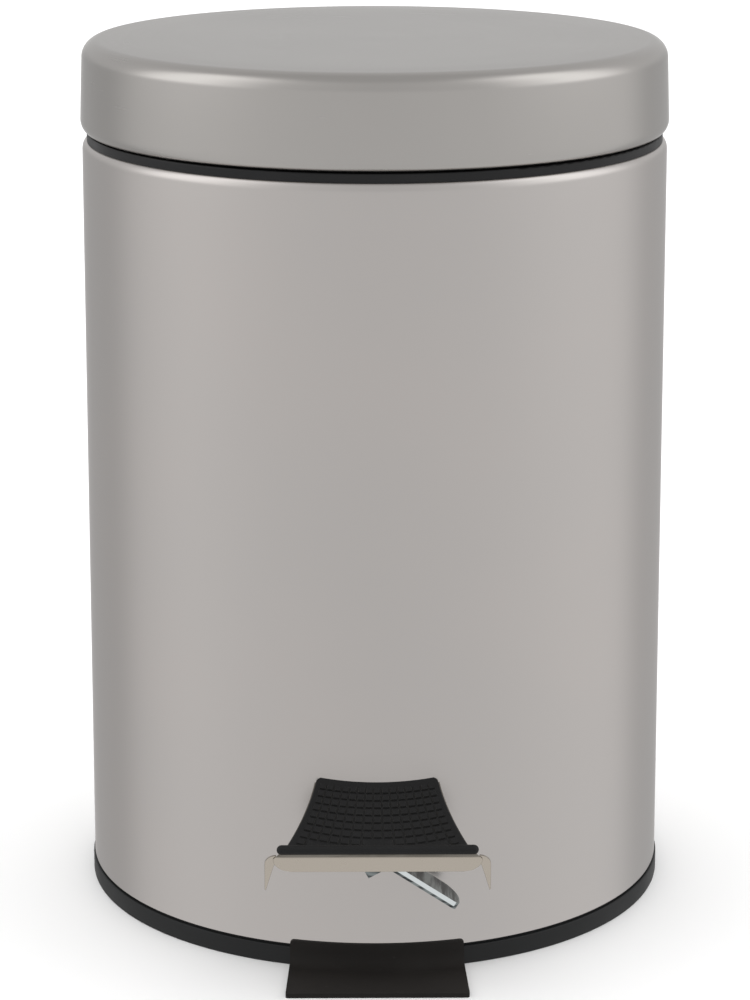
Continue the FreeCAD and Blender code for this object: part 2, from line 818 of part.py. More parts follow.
def pedal_plate():
    """The steel plate, its lip bent down in front and an ear bent down at each front corner."""
    points = flared(
        [
            (d.pedal_front_half, 0),
            (d.pedal_front_half, d.pedal_bar),
            (d.pedal_neck_half, d.pedal_bar),
            (d.pedal_back_half, d.pedal_length),
        ]
    )
    plate = tilted_sheet("pedal", points, d.pedal_sheet, -d.pedal_sheet, d.pedal_back_radius)
    lip_bottom = d.pedal_front_z - d.lip_height
    lip_points = [
        (-d.lip_half_width, lip_bottom),
        (d.lip_half_width, lip_bottom),
        (d.lip_half_width, d.pedal_front_z),
        (-d.lip_half_width, d.pedal_front_z),
    ]
    lip = extruded("lip", "XZ_Plane", lip_points, d.pedal_sheet, -d.pedal_front_y - d.pedal_sheet)
    rounded(
        lip,
        "lip_corners",
        d.lip_corner,
        middle(x=-d.lip_half_width, z=lip_bottom),
        middle(x=d.lip_half_width, z=lip_bottom),
    )
    ear_front = d.pedal_front_y + d.pedal_ear_set
    ear_bottom = d.pedal_front_z - d.pedal_ear_depth
    ear_points = [
        (ear_front, d.pedal_front_z - d.pedal_sheet / 2),
        (ear_front, ear_bottom - d.pedal_ear_tip),
        (ear_front + d.pedal_ear_tip, ear_bottom),
        (d.pedal_front_y + d.pedal_bar, pedal_underside(d.pedal_front_y + d.pedal_bar)),
    ]
    ears = [
        extruded(f"ear_{side}", "YZ_Plane", ear_points, d.pedal_sheet, low)
        for side, low in (("right", d.pedal_front_half - d.pedal_sheet), ("left", -d.pedal_front_half))
    ]
    blank = fuse("pedal_blank", plate, lip, *ears)
    return cut("pedal_plate", blank, *pedal_rivet_holes("plate_rivet_hole"))


def pedal_pad():
    """The rubber pad on the plate, with a round bead along its front edge."""
    front = (d.pedal_neck_half - d.pad_inset, d.pad_bead_along)
    back = (d.pedal_back_half - d.pad_inset, d.pedal_length)
    flat = tilted_sheet("pad", flared([front, back]), d.pad_sheet, 0, d.pedal_back_radius + d.pad_inset)
    y, z = on_slope(d.pad_bead_along, d.pad_bead)
    bead = crosswise("pad_bead", d.pad_bead, -d.pad_bead_half, d.pad_bead_half, y, z)
    return fuse("pedal_pad", flat, bead)


def rounded_tip(leg, name, low, high):
    """Rounds the two upright edges at a leg's end, given the ends of its lower and upper lines."""
    x = (low[0] + high[0]) / 2
    z = (low[1] + high[1]) / 2
    back_y = d.stop_front_y + d.stop_depth
    rounded(leg, name + "_back", d.stop_tip_back, middle(x=x, y=back_y, z=z))
    return rounded(leg, name + "_front", d.stop_tip_front, middle(x=x, y=d.stop_front_y, z=z))


def pedal_stop():
    """The plated strip under the pedal: a flange, a web and two legs, the long one ending over the foot."""
    back_y = d.stop_front_y + d.stop_depth
    right = (cosine(d.stop_right_angle), sine(d.stop_right_angle))
    left = (cosine(d.stop_left_angle), sine(d.stop_left_angle))
    t = d.stop_sheet
    apex = (d.stop_apex_x, d.stop_apex_z)
    crown_rise = t / cosine((d.stop_right_angle + d.stop_left_angle) / 2)
    right_end = (apex[0] + right[0] * d.stop_right_leg, apex[1] - right[1] * d.stop_right_leg)
    left_end = (apex[0] - left[0] * d.stop_left_leg, apex[1] - left[1] * d.stop_left_leg)
    legs = [
        apex,
        right_end,
        (right_end[0] + right[1] * t, right_end[1] + right[0] * t),
        (apex[0], apex[1] + crown_rise),
        (left_end[0] - left[1] * t, left_end[1] + left[0] * t),
        left_end,
    ]
    strip = extruded("stop_legs", "XZ_Plane", legs, d.stop_depth, -back_y)
    rounded_tip(strip, "stop_tip", legs[1], legs[2])
    front = on_slope(d.rivet_front - d.stop_flange_margin, ORIGIN)[0]
    back = on_slope(d.rivet_back + d.stop_flange_margin, ORIGIN)[0]
    under = [(y, pedal_underside(y) - d.lever_sheet) for y in (back, front)]
    flange_points = under + [(y, z - t) for y, z in reversed(under)]
    flange_width = d.lever_half_width + d.stop_apex_x + t / 2
    flange = extruded("stop_flange", "YZ_Plane", flange_points, flange_width, -d.lever_half_width)
    web_points = [
        (d.stop_front_y, apex[1] + crown_rise / 2),
        (back_y, apex[1] + crown_rise / 2),
        (back, under[0][1] - t / 2),
        (d.stop_front_y, pedal_underside(d.stop_front_y) - d.lever_sheet - t / 2),
    ]
    web = extruded("stop_web", "YZ_Plane", web_points, t, d.stop_apex_x - t / 2)
    blank = fuse("stop_blank", strip, flange, web)
    return cut("pedal_stop", blank, *pedal_rivet_holes("stop_rivet_hole"))


def pedal_rivets():
    """Two rivets through the plate, the lever and the stop's flange."""
    squeeze = cosine(d.pedal_tilt)
    flange_bottom = -d.pedal_sheet - (d.lever_sheet + d.stop_sheet) * squeeze
    head_bottom = flange_bottom - d.rivet_head_height
    rivets = []
    for i, along in enumerate((d.rivet_front, d.rivet_back)):
        shank = through_pedal(f"pedal_rivet_{i}_shank", d.rivet, along, head_bottom, ORIGIN)
        head = through_pedal(f"pedal_rivet_{i}_head", d.rivet_head, along, head_bottom, flange_bottom)
        rivets.append(fuse(f"pedal_rivet_{i}", shank, head))
    return group("pedal_rivets", *rivets)


# ---------------------------------------------------------------- push rod


def push_rod():
    """The upright wire behind the bucket, bent over at both ends."""
    upright_sheet = Rotation(Vector(1, 0, 0), 90)
    stem = upright("rod_stem", d.rod, rod_low + d.rod_bend, rod_high - d.rod_bend, 0, rod_y)
    low = bend(
        "rod_low_bend",
        d.rod,
        d.rod_bend,
        90,
        d.rod_bend,
        rod_y,
        rod_low + d.rod_bend,
        upright_sheet * Rotation(Vector(0, 0, 1), 180),
    )
    high = bend(
        "rod_high_bend",
        d.rod,
        d.rod_bend,
        90,
        d.rod_bend,
        rod_y,
        rod_high - d.rod_bend,
        upright_sheet * Rotation(Vector(0, 0, 1), 90),
    )
    feet = [
        crosswise(f"rod_leg_{i}", d.rod, d.rod_bend, crank_outer + d.rod_leg_end, rod_y, z)
        for i, z in enumerate((rod_low, rod_high))
    ]
    return fuse("push_rod", stem, low, high, *feet)


def rod_end_caps():
    """Two push-on caps that keep the rod's ends in the lever and in the crank."""
    low = crank_outer + d.cap_gap
    caps = [
        washer(f"rod_cap_{i}", d.rod, d.cap, low, low + d.cap_width, rod_y, z)
        for i, z in enumerate((rod_low, rod_high))
    ]
    return group("rod_end_caps", *caps)


def rod_guides():
    """Two nylon blocks on the rear wall that keep the rod upright."""
    blocks = []
    for i, z in enumerate((d.guide_low, d.guide_high)):
        heights = (z, z + d.guide_height)
        across = (-d.guide_left, d.guide_right)
        block = box(f"guide_{i}_block", across, (rod_y - d.guide_depth, body_inside), heights)
        curved = common(f"guide_{i}_curved", block, upright(f"guide_{i}_wall", body_inside, *heights))
        bore = upright(f"guide_{i}_bore", d.rod + d.play, *heights, 0, rod_y)
        rivet_hole = radial(f"guide_{i}_hole", d.guide_rivet, hole_from, hole_to, *guide_rivet_places()[i])
        blocks.append(cut(f"guide_{i}", curved, bore, rivet_hole))
    return group("rod_guides", *blocks)


def guide_rivets():
    """One rivet from outside through the wall into each guide."""
    rivets = []
    for i, (angle, z) in enumerate(guide_rivet_places()):
        inner = radial(f"guide_rivet_{i}_tip", d.guide_rivet, rod_y, body_inside, angle, z)
        shank = radial(f"guide_rivet_{i}_shank", d.rivet, body_inside, d.body_radius, angle, z)
        outside = d.body_radius + d.rivet_head_height
        head = radial(f"guide_rivet_{i}_head", d.rivet_head, d.body_radius, outside, angle, z)
        rivets.append(fuse(f"guide_rivet_{i}", inner, shank, head))
    return group("guide_rivets", *rivets)


# ---------------------------------------------------------------- lid and hinge


def curved_plate(name, inner, thickness, half_width, low, high):
    """A plate that lies on the outside of a cylinder about Z, at +Y."""
    outer = upright(name + "_outer", inner + thickness, low, high)
    hollow = upright(name + "_hollow", inner, low, high)
    window = box(name + "_window", (-half_width, half_width), (0, CUT), (low, high))
    return common(name, cut(name + "_tube", outer, hollow), window)


def body_hinge_bracket():
    """The bracket on the back of the body, with two ears that carry the hinge pin."""
    top = d.bracket_bottom + d.bracket_height
    plate = curved_plate("hinge_plate", d.body_radius, d.bracket_sheet, bracket_outer, d.bracket_bottom, top)
    ears_from = d.bracket_bottom + d.bracket_lug_foot
    ears = mirrored_ears("hinge", d.bracket_lug, d.hinge_ear, hinge_y, d.hinge_z, ears_from)
    depth = (d.body_radius + d.bracket_sheet / 6, hinge_y)
    gussets = [
        box(f"hinge_gusset_{i}", (low, low + d.ear_sheet), depth, (d.bracket_bottom + d.arm_low, top))
        for i, low in enumerate((d.bracket_lug, -bracket_outer))
    ]
    pin_hole = crosswise("hinge_bore", d.hinge_pin, -bracket_outer, bracket_outer, hinge_y, d.hinge_z)
    blank = fuse("hinge_blank", plate, *ears, *gussets)
    return cut("body_hinge_bracket", blank, pin_hole, *wall_holes("hinge_hole", bracket_rivets()))


def rivet_pair(label, places, inside, outside):
    """Rivets through a wall that lies between two radii about Z."""
    rivets = []
    for i, (angle, z) in enumerate(places):
        name = f"{label}_{i}"
        ends = (inside - d.rivet_head_height, outside + d.rivet_head_height)
        shank = radial(name + "_shank", d.rivet, *ends, angle, z)
        inner = radial(name + "_inner", d.rivet_head, ends[0], inside - 2 * d.play, angle, z)
        outer = radial(name + "_outer", d.rivet_head, outside, ends[1], angle, z)
        rivets.append(fuse(name, shank, inner, outer))
    return group(label, *rivets)


def body_hinge_rivets():
    return rivet_pair("body_hinge_rivets", bracket_rivets(), body_inside, d.body_radius + d.bracket_sheet)


def hinge_pin():
    """The lid's pin, with a head on the left."""
    ends = (-bracket_outer, bracket_outer + d.hinge_stub)
    shank = crosswise("hinge_shank", d.hinge_pin, *ends, hinge_y, d.hinge_z)
    head = crosswise("hinge_cap", d.hinge_head, ends[0] - d.hinge_head_width, ends[0], hinge_y, d.hinge_z)
    return fuse("hinge_pin", shank, head)


def hinge_pin_clip():
    outside = bracket_outer + d.hinge_clip_width
    return washer("hinge_pin_clip", d.hinge_pin, d.hinge_clip, bracket_outer, outside, hinge_y, d.hinge_z)


def lid_rivet_places():
    return [(0, d.lid_bottom + d.arm_rivet_low), (0, d.lid_bottom + d.arm_rivet_high)]


def crank():
    """The slotted arm that the push rod lifts, hung 35 degrees below level from the hinge pin."""
    across = (d.crank_inner, crank_outer)
    half = d.crank_half_height
    bar = box("crank_bar", across, (-d.crank_length + half, 0), (-half, half))
    tip = crosswise("crank_tip", half, *across, half - d.crank_length, 0)
    slot_radius = d.rod + d.crank_slot_play
    near = d.crank_slot_play + d.crank_slot_end - d.crank_offset
    far = -d.crank_slot_end - d.crank_offset / cosine(d.crank_swing)
    ends = [crosswise(f"crank_slot_end_{i}", slot_radius, *across, y, 0) for i, y in enumerate((near, far))]
    straight = box("crank_slot_straight", across, (far, near), (-slot_radius, slot_radius))
    arm = cut("crank_arm", fuse("crank_blank", bar, tip), *ends, straight)
    return tilt(arm, 0, hinge_y, d.hinge_z, d.crank_swing)


def lid_skirt_cone(name, low, high):
    """The tapered outer face of the lid's skirt, as a solid cone."""
    made = document.addObject("Part::Cone", name)
    per_height = d.lid_taper / (d.lid_top - d.lid_bottom)
    bind(
        made,
        Radius1=d.lid_radius - per_height * (low - d.lid_bottom),
        Radius2=d.lid_radius - per_height * (high - d.lid_bottom),
        Height=high - low,
    )
    return place(made, 0, 0, low)


def lid_hinge_arm():
    """The bracket on the lid's skirt: a curved plate, two ears on the pin, and the crank inside the body."""
    low = d.lid_bottom + d.arm_low
    high = d.lid_bottom + d.arm_high
    inner = d.lid_radius - d.lid_taper
    half_width = crank_outer + d.arm_margin
    plate = curved_plate("arm_plate", inner, d.lid_taper + d.arm_sheet, half_width, low, high)
    fitted = cut("arm_plate_fitted", plate, lid_skirt_cone("arm_skirt", low, high))
    ears_from = d.lid_bottom + d.arm_lug_foot
    ears = mirrored_ears("arm", d.crank_inner, d.hinge_ear, hinge_y, d.hinge_z, ears_from)
    depth = (d.lid_radius + d.arm_sheet / 4, hinge_y + d.hinge_ear)
    webs = [
        box(f"arm_web_{i}", (x, x + d.ear_sheet), depth, (d.hinge_z, high - d.arm_margin))
        for i, x in enumerate((d.crank_inner, -crank_outer))
    ]
    blank = fuse("arm_blank", fitted, *ears, *webs, crank())
    bore = d.hinge_pin + d.play
    pin_hole = crosswise("arm_bore", bore, -crank_outer, crank_outer, hinge_y, d.hinge_z)
    return cut("lid_hinge_arm", blank, pin_hole, *wall_holes("arm_hole", lid_rivet_places()))


def lid_hinge_rivets():
    inside = d.lid_radius - d.lid_taper - d.lid_sheet + d.play
    return rivet_pair("lid_hinge_rivets", lid_rivet_places(), inside, d.lid_radius + d.arm_sheet)


def lid_shell():
    """The drawn steel lid: flat top, rounded shoulder, slightly tapered skirt and an edge rolled inwards."""
    top_radius = d.lid_radius - d.lid_taper
    roll_inside = d.lid_radius - d.lid_roll_width
    above_roll = d.lid_bottom + d.lid_sheet
    under_top = d.lid_top - d.lid_sheet
    section = [
        (0, d.lid_top),
        (top_radius, d.lid_top),
        (d.lid_radius, d.lid_bottom),
        (roll_inside, d.lid_bottom),
        (roll_inside, above_roll),
        (d.lid_radius - d.lid_sheet, above_roll),
        (top_radius - d.lid_sheet, under_top),
        (0, under_top),
    ]
    lid = turned("lid_body", section)
    rounded(lid, "lid_shoulder", d.lid_shoulder, ring(top_radius, d.lid_top))
    inner_shoulder = ring(top_radius - d.lid_sheet, under_top)
    rounded(lid, "lid_shoulder_inside", d.lid_shoulder - d.lid_sheet, inner_shoulder)
    rounded(lid, "lid_roll", d.lid_roll_round, ring(d.lid_radius, d.lid_bottom))
    inner_roll = ring(d.lid_radius - d.lid_sheet, above_roll)
    rounded(lid, "lid_roll_inside", d.lid_roll_round - d.lid_sheet, inner_roll)
    return cut("lid_shell", lid, *wall_holes("lid_hole", lid_rivet_places()))


# ---------------------------------------------------------------- build, check and write

SUB_PARTS = [
    base_tray,
    front_foot,
    body_shell,
    rim_ring,
    inner_bucket,
    bucket_handle,
    pivot_bracket,
    bracket_screws,
    pivot_pin,
    pivot_pin_clip,
    pedal_lever,
    pedal_plate,
    pedal_pad,
    pedal_stop,
    pedal_rivets,
    push_rod,
    rod_end_caps,
    rod_guides,
    guide_rivets,
    body_hinge_bracket,
    body_hinge_rivets,
    hinge_pin,
    hinge_pin_clip,
    lid_hinge_arm,
    lid_hinge_rivets,
    lid_shell,
]

nodes = []
for make in SUB_PARTS:
    node = make()
    node.Label = make.__name__
    nodes.append(node)
document.recompute()

for item in document.Objects:
    if "Invalid" in item.State or "Error" in item.State:
        raise RuntimeError(f"{item.Name} failed: {item.State}")

os.makedirs("parts", exist_ok=True)
for node in nodes:
    if node.Shape.isNull() or not node.Shape.isValid() or not node.Shape.Solids:
        raise RuntimeError(f"{node.Label} has no valid solid")
    node.Shape.exportStep(f"parts/{node.Label}.step")
    extent = node.Shape.BoundBox
    print(
        f"{node.Label:20s} solids {len(node.Shape.Solids)}  volume {node.Shape.Volume:10.1f}"
        f"  x {extent.XMin:.1f} {extent.XMax:.1f}  y {extent.YMin:.1f} {extent.YMax:.1f}"
        f"  z {extent.ZMin:.1f} {extent.ZMax:.1f}"
    )
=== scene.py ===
import json
import math

import bmesh
import bpy
from mathutils import Matrix, Vector


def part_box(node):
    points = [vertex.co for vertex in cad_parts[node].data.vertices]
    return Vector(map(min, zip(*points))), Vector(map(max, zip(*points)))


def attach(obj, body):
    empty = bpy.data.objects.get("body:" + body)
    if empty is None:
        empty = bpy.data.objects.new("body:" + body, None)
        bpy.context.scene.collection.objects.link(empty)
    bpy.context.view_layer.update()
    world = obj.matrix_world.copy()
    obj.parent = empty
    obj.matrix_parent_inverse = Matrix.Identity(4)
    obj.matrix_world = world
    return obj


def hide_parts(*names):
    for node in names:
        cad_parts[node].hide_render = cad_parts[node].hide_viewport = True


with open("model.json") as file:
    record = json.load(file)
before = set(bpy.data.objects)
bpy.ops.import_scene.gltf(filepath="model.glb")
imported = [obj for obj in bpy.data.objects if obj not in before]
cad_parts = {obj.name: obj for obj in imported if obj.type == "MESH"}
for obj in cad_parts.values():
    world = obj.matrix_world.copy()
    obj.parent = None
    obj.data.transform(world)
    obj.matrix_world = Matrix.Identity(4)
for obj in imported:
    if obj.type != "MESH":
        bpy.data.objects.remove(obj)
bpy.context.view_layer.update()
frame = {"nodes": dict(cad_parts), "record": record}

MM = 0.001
scene = bpy.context.scene
scene.view_settings.view_transform = "Standard"


def box_mm(node):
    """A CAD node's lowest and highest corners, in millimetres."""
    low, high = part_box(node)
    return low / MM, high / MM


# ---------------------------------------------------------------- sizes, in millimetres and degrees

BODY_LOW, BODY_HIGH = box_mm("body_shell")
LID_LOW, LID_HIGH = box_mm("lid_shell")
BASE_HIGH = box_mm("base_tray")[1]
FOOT_LOW, FOOT_HIGH = box_mm("front_foot")

TURN_STEPS = 288

BODY_RADIUS = BODY_HIGH.x
BODY_SHEET = 0.6
BODY_EDGE_WIDTH = 1.4
BODY_EDGE_HEIGHT = 2.6
BODY_CURL = 0.9
BODY_CURL_DEPTH = 1.9
BODY_CURL_INSIDE = BODY_RADIUS - 2.6
SLOT_HALF = 6.8
SLOT_HEIGHTS = (30.0, 51.3)
NOTCH_HALF = 8.6
NOTCH_BOTTOM = 211.0

LID_RADIUS = LID_HIGH.x
LID_TAPER = 0.6
LID_SHEET = 0.7
LID_SHOULDER = 5.0
LID_ROLL_WIDTH = 2.6
LID_ROLL_HEIGHT = 3.5

BASE_RADIUS = BASE_HIGH.x
BASE_EDGE = 0.35
HUB_RADIUS = 30
RIM_RADIUS = 76
RECESS = 0.8
FLOOR_TOP = 3
BOSS_RADIUS = 24
BOSS_TOP = 8
UPSTAND_PLAY = 0.1
UPSTAND_WALL = 2
SEAM_DEPTH = 0.9
SEAM_HEIGHT = 0.8

FOOT_PLAY = 0.05
FOOT_TIP = 0.8
FOOT_HALF = 24.2
FOOT_PLATE = 1.3
FOOT_WALL = 1.1
FOOT_CORNER = 1.3
FOOT_TOP = FOOT_HIGH.z - 0.3
FOOT_FILLET = 4.0

PEDAL_TILT = math.radians(32)
PEDAL_FRONT_Y = -105.5
PEDAL_FRONT_Z = 41.4
PEDAL_SHEET = 0.8
PEDAL_BACK_RADIUS = 86.0
PEDAL_BEND = 1.5
LIP_HEIGHT = 4.45
LIP_HALF = 28.2
LIP_CORNER = (5.2, 3.55)
BAR_DEPTH = 1.7
BAR_INSET = 1.6
NECK_MARGIN = 0.4
EAR_START = 27.4
EAR_OUTSIDE = 30.5
EAR_ROUND = (EAR_OUTSIDE - EAR_START, 2.4)
EAR_NECK = 2.9
EAR_NECK_X = 28.0
EAR_DROP = 9.6
EAR_TIP = 0.3
EAR_SETBACK = 0.5

PAD_THICKNESS = 1.1
PAD_BACK_HALF = 17.0
PAD_SPREAD = 4.13
PAD_FLARE = 3.17
PAD_BACK = 23.6
PAD_RUN = 20.5
PAD_BACK_RADIUS = 85.6
PAD_CORNER = 1.5
PAD_MARGIN = 0.985
PAD_EDGE_DROP = 0.35
PAD_LIFT = 0.02
BEAD_RADIUS = 1.3
BEAD_ALONG = 1.2
BEAD_HALF = 27.2
STUD_HEIGHT = 0.55
STUD_TOP = 0.34
STUD_FOOT = 0.40
STUD_COLUMNS = 15
STUD_ROWS = 10
STUD_PITCH = 2.5
STUD_FIRST = 3.2
STUD_FIELD = 0.925

# painted shade: a dark line along the lower edge of the pedal stop's front face, as (corner, slope, width)
STOP_SHADE_LINE = ((2.75, 34.5), 33.2, 0.7)

RIVET_RADIUS = 1.6
RIVET_HEAD_RADIUS = 3.0
RIVET_HEAD = 0.9
HINGE_SHEET = 1.2
BRACKET_RIVETS = (193, 205)
GUIDE_RIVETS = (66, 168)
GUIDE_ANGLE = 174
GUIDE_SHANK = 2
LID_RIVETS = (8, 15)
LID_GRIP = 1.3

# ---------------------------------------------------------------- camera, floor and light

CAMERA_PLACE = Vector((1.17, -911.6, 359.5)) * MM
CAMERA_PITCH = 0.2024
CAMERA_YAW = 0.0012
CAMERA_TURN = -0.009
CAMERA_LENS = 114.3


def add_camera():
    camera = bpy.data.cameras.new("camera")
    camera.lens = CAMERA_LENS
    camera.sensor_width = 36
    camera.shift_y = -0.2
    camera.clip_start = 0.05
    camera.clip_end = 50
    holder = bpy.data.objects.new("camera", camera)
    holder.location = Matrix.Rotation(CAMERA_TURN, 3, "Z") @ CAMERA_PLACE
    holder.rotation_euler = (math.pi / 2 - CAMERA_PITCH, 0, CAMERA_YAW + CAMERA_TURN)
    scene.collection.objects.link(holder)
    scene.camera = holder


def add_node(tree, kind, inputs=None, **settings):
    """A shader node with its settings, and its inputs given as values or as sockets to link."""
    node = tree.nodes.new(kind)
    for name, value in settings.items():
        setattr(node, name, value)
    for name, value in (inputs or {}).items():
        if isinstance(value, bpy.types.NodeSocket):
            tree.links.new(value, node.inputs[name])
        else:
            node.inputs[name].default_value = value
    return node


def math_node(tree, operation, *values, clamp=False):
    inputs = dict(enumerate(values))
    return add_node(tree, "ShaderNodeMath", inputs, operation=operation, use_clamp=clamp).outputs[0]


def mapped(tree, value, low, high, to_low=0.0, to_high=1.0, smooth=False):
    """The value, stretched from one range to another."""
    inputs = {"Value": value, "From Min": low, "From Max": high, "To Min": to_low, "To Max": to_high}
    kind = "SMOOTHSTEP" if smooth else "LINEAR"
    return add_node(tree, "ShaderNodeMapRange", inputs, interpolation_type=kind).outputs["Result"]


def ramp(tree, value, stops):
    """A grey ramp through (position, brightness) stops."""
    node = add_node(tree, "ShaderNodeValToRGB", {"Fac": value})
    elements = node.color_ramp.elements
    while len(elements) < len(stops):
        elements.new(0.5)
    for element, (position, brightness) in zip(elements, stops):
        element.position = position
        element.color = (brightness, brightness, brightness, 1)
    return node.outputs["Color"]


def around(tree, levels):
    """Brightness by compass angle, from (degrees from the front, brightness) levels, left to right."""
    direction = add_node(tree, "ShaderNodeTexCoord").outputs["Generated"]
    split = add_node(tree, "ShaderNodeSeparateXYZ", {"Vector": direction})
    backwards = math_node(tree, "MULTIPLY", split.outputs["Y"], -1.0)
    angle = math_node(tree, "ARCTAN2", split.outputs["X"], backwards)
    turn = mapped(tree, angle, -math.pi, math.pi)
    return ramp(tree, turn, [((degrees + 180) / 360, level) for degrees, level in levels])


LOW_LIGHT = [
    (-180, 1.0), (-170, 0.95), (-160, 0.47), (-122, 0.45), (-106, 0.66), (-80, 0.73), (-45, 0.69), (0, 0.67),
    (45, 0.69), (80, 0.73), (112, 0.75), (130, 0.49), (160, 0.49), (170, 0.95), (180, 1.0),
]
HIGH_LIGHT = [
    (-180, 0.58), (-140, 0.58), (-110, 0.60), (-95, 1.38), (-74, 1.38), (-42, 0.66), (0, 0.57),
    (45, 0.64), (80, 1.38), (98, 1.38), (118, 0.62), (145, 0.60), (180, 0.58),
]
ZENITH_LIGHT = 0.5
WORLD_STRENGTH = 1.0


def add_world():
    """A white backdrop for the camera, and soft side lights that only lamps and reflections see."""
    world = bpy.data.worlds.new("studio")
    scene.world = world
    world.use_nodes = True
    tree = world.node_tree
    direction = add_node(tree, "ShaderNodeTexCoord").outputs["Generated"]
    height = add_node(tree, "ShaderNodeSeparateXYZ", {"Vector": direction}).outputs["Z"]
    lift = mapped(tree, height, -0.05, 0.15, smooth=True)
    low_ring, high_ring = around(tree, LOW_LIGHT), around(tree, HIGH_LIGHT)
    walls = add_node(tree, "ShaderNodeMixRGB", {"Fac": lift, "Color1": low_ring, "Color2": high_ring})
    top = mapped(tree, height, 0.75, 0.95, smooth=True)
    zenith = (ZENITH_LIGHT, ZENITH_LIGHT, ZENITH_LIGHT, 1)
    sides = walls.outputs["Color"]
    dome = add_node(tree, "ShaderNodeMixRGB", {"Fac": top, "Color1": sides, "Color2": zenith})
    seen = add_node(tree, "ShaderNodeLightPath").outputs["Is Camera Ray"]
    mixed = add_node(
        tree, "ShaderNodeMixRGB", {"Fac": seen, "Color1": dome.outputs["Color"], "Color2": (1, 1, 1, 1)}
    )
    background = tree.nodes["Background"]
    tree.links.new(mixed.outputs["Color"], background.inputs["Color"])
    background.inputs["Strength"].default_value = WORLD_STRENGTH


def add_floor():
    bpy.ops.mesh.primitive_plane_add(size=30)
    floor = bpy.context.object
    floor.name = "floor"
    floor.visible_glossy = False
    material = bpy.data.materials.new("floor")
    material.use_nodes = True
    shader = material.node_tree.nodes["Principled BSDF"]
    shader.inputs["Base Color"].default_value = (0.9, 0.9, 0.9, 1)
    shader.inputs["Roughness"].default_value = 0.8
    floor.data.materials.append(material)


def add_overhead_light():
    """Even, very soft light from above for the floor and the dark plastics, with no glint on the steel."""
    light = bpy.data.lights.new("overhead", "SUN")
    light.angle = math.radians(100)
    light.energy = 2.3
    holder = bpy.data.objects.new("overhead", light)
    holder.rotation_euler = (math.radians(-13), 0, 0)
    holder.visible_glossy = False
    scene.collection.objects.link(holder)


# ---------------------------------------------------------------- materials


def new_material(name, roughness=None, metallic=0.0):
    material = bpy.data.materials.new(name)
    material.use_nodes = True
    shader = material.node_tree.nodes["Principled BSDF"]
    shader.inputs["Metallic"].default_value = metallic
    if roughness is not None:
        shader.inputs["Roughness"].default_value = roughness
    return material, material.node_tree, shader


def place_of(tree):
    return add_node(tree, "ShaderNodeTexCoord").outputs["Object"]


def noise(tree, vector, scale, detail=3.0, roughness=0.5):
    """Noise with about scale features in a metre."""
    inputs = {"Vector": vector, "Scale": scale, "Detail": detail, "Roughness": roughness}
    return add_node(tree, "ShaderNodeTexNoise", inputs).outputs[0]


def stretched(tree, vector, x, y, z):
    """The vector scaled by its own amount along each axis."""
    return add_node(
        tree, "ShaderNodeVectorMath", {0: vector, 1: (x, y, z)}, operation="MULTIPLY"
    ).outputs["Vector"]


def turned_grain(tree, lines, drift):
    """Fine lines that run round the Z axis: lines in a metre across them, and drift along them."""
    split = add_node(tree, "ShaderNodeSeparateXYZ", {"Vector": place_of(tree)})
    flat = stretched(tree, place_of(tree), 1, 1, 0)
    radius = add_node(tree, "ShaderNodeVectorMath", {0: flat}, operation="LENGTH").outputs["Value"]
    across = math_node(tree, "MULTIPLY", radius, lines)
    upward = math_node(tree, "MULTIPLY", split.outputs["Z"], lines)
    sideways = math_node(tree, "MULTIPLY", split.outputs["X"], drift)
    depth = math_node(tree, "MULTIPLY", split.outputs["Y"], drift)
    grid = add_node(tree, "ShaderNodeCombineXYZ", {"X": across, "Y": upward, "Z": sideways})
    vector = grid.outputs["Vector"]
    inputs = {"Vector": vector, "W": depth, "Scale": 1.0, "Detail": 4.0, "Roughness": 0.6}
    return add_node(tree, "ShaderNodeTexNoise", inputs, noise_dimensions="4D").outputs[0]


def two_tone(tree, factor, first, second):
    inputs = {"Fac": factor, "Color1": (*first, 1), "Color2": (*second, 1)}
    return add_node(tree, "ShaderNodeMixRGB", inputs).outputs["Color"]


def bump(tree, shader, height, depth, strength=1.0):
    """Relief of the given depth, in metres."""
    inputs = {"Height": height, "Distance": depth, "Strength": strength}
    node = add_node(tree, "ShaderNodeBump", inputs)
    tree.links.new(node.outputs["Normal"], shader.inputs["Normal"])


def satin_steel(name, colour, tint, roughness, spread=0.02, lines=1800, relief=0.004):
    """Stainless sheet with a fine turned grain, cloudy polish and a slight change of tone."""
    material, tree, shader = new_material(name, metallic=1.0)
    grain = turned_grain(tree, lines, 24)
    clouds = noise(tree, place_of(tree), 16, detail=4)
    tone = mapped(tree, clouds, 0.3, 0.7, smooth=True)
    tree.links.new(two_tone(tree, tone, colour, tint), shader.inputs["Base Color"])
    fine, broad = math_node(tree, "MULTIPLY", grain, 0.6), math_node(tree, "MULTIPLY", clouds, 0.4)
    mix = math_node(tree, "ADD", fine, broad)
    rough = mapped(tree, mix, 0.3, 0.7, roughness - spread, roughness + spread)
    tree.links.new(rough, shader.inputs["Roughness"])
    bump(tree, shader, grain, relief * MM)
    return material


def plated_steel(name, colour, tint, roughness, streaks=(90, 700, 90), relief=0.02):
    """Rolled and plated strip: streaks along the metal, mottled brightness and small pits."""
    material, tree, shader = new_material(name, metallic=1.0)
    run = noise(tree, stretched(tree, place_of(tree), *streaks), 1.0, detail=5)
    mottle = noise(tree, place_of(tree), 380, detail=4)
    tone = mapped(tree, run, 0.35, 0.65, smooth=True)
    tree.links.new(two_tone(tree, tone, colour, tint), shader.inputs["Base Color"])
    mix = math_node(tree, "MULTIPLY", math_node(tree, "ADD", run, mottle), 0.5)
    rough = mapped(tree, mix, 0.35, 0.65, roughness - 0.07, roughness + 0.1)
    tree.links.new(rough, shader.inputs["Roughness"])
    bump(tree, shader, mix, relief * MM)
    return material


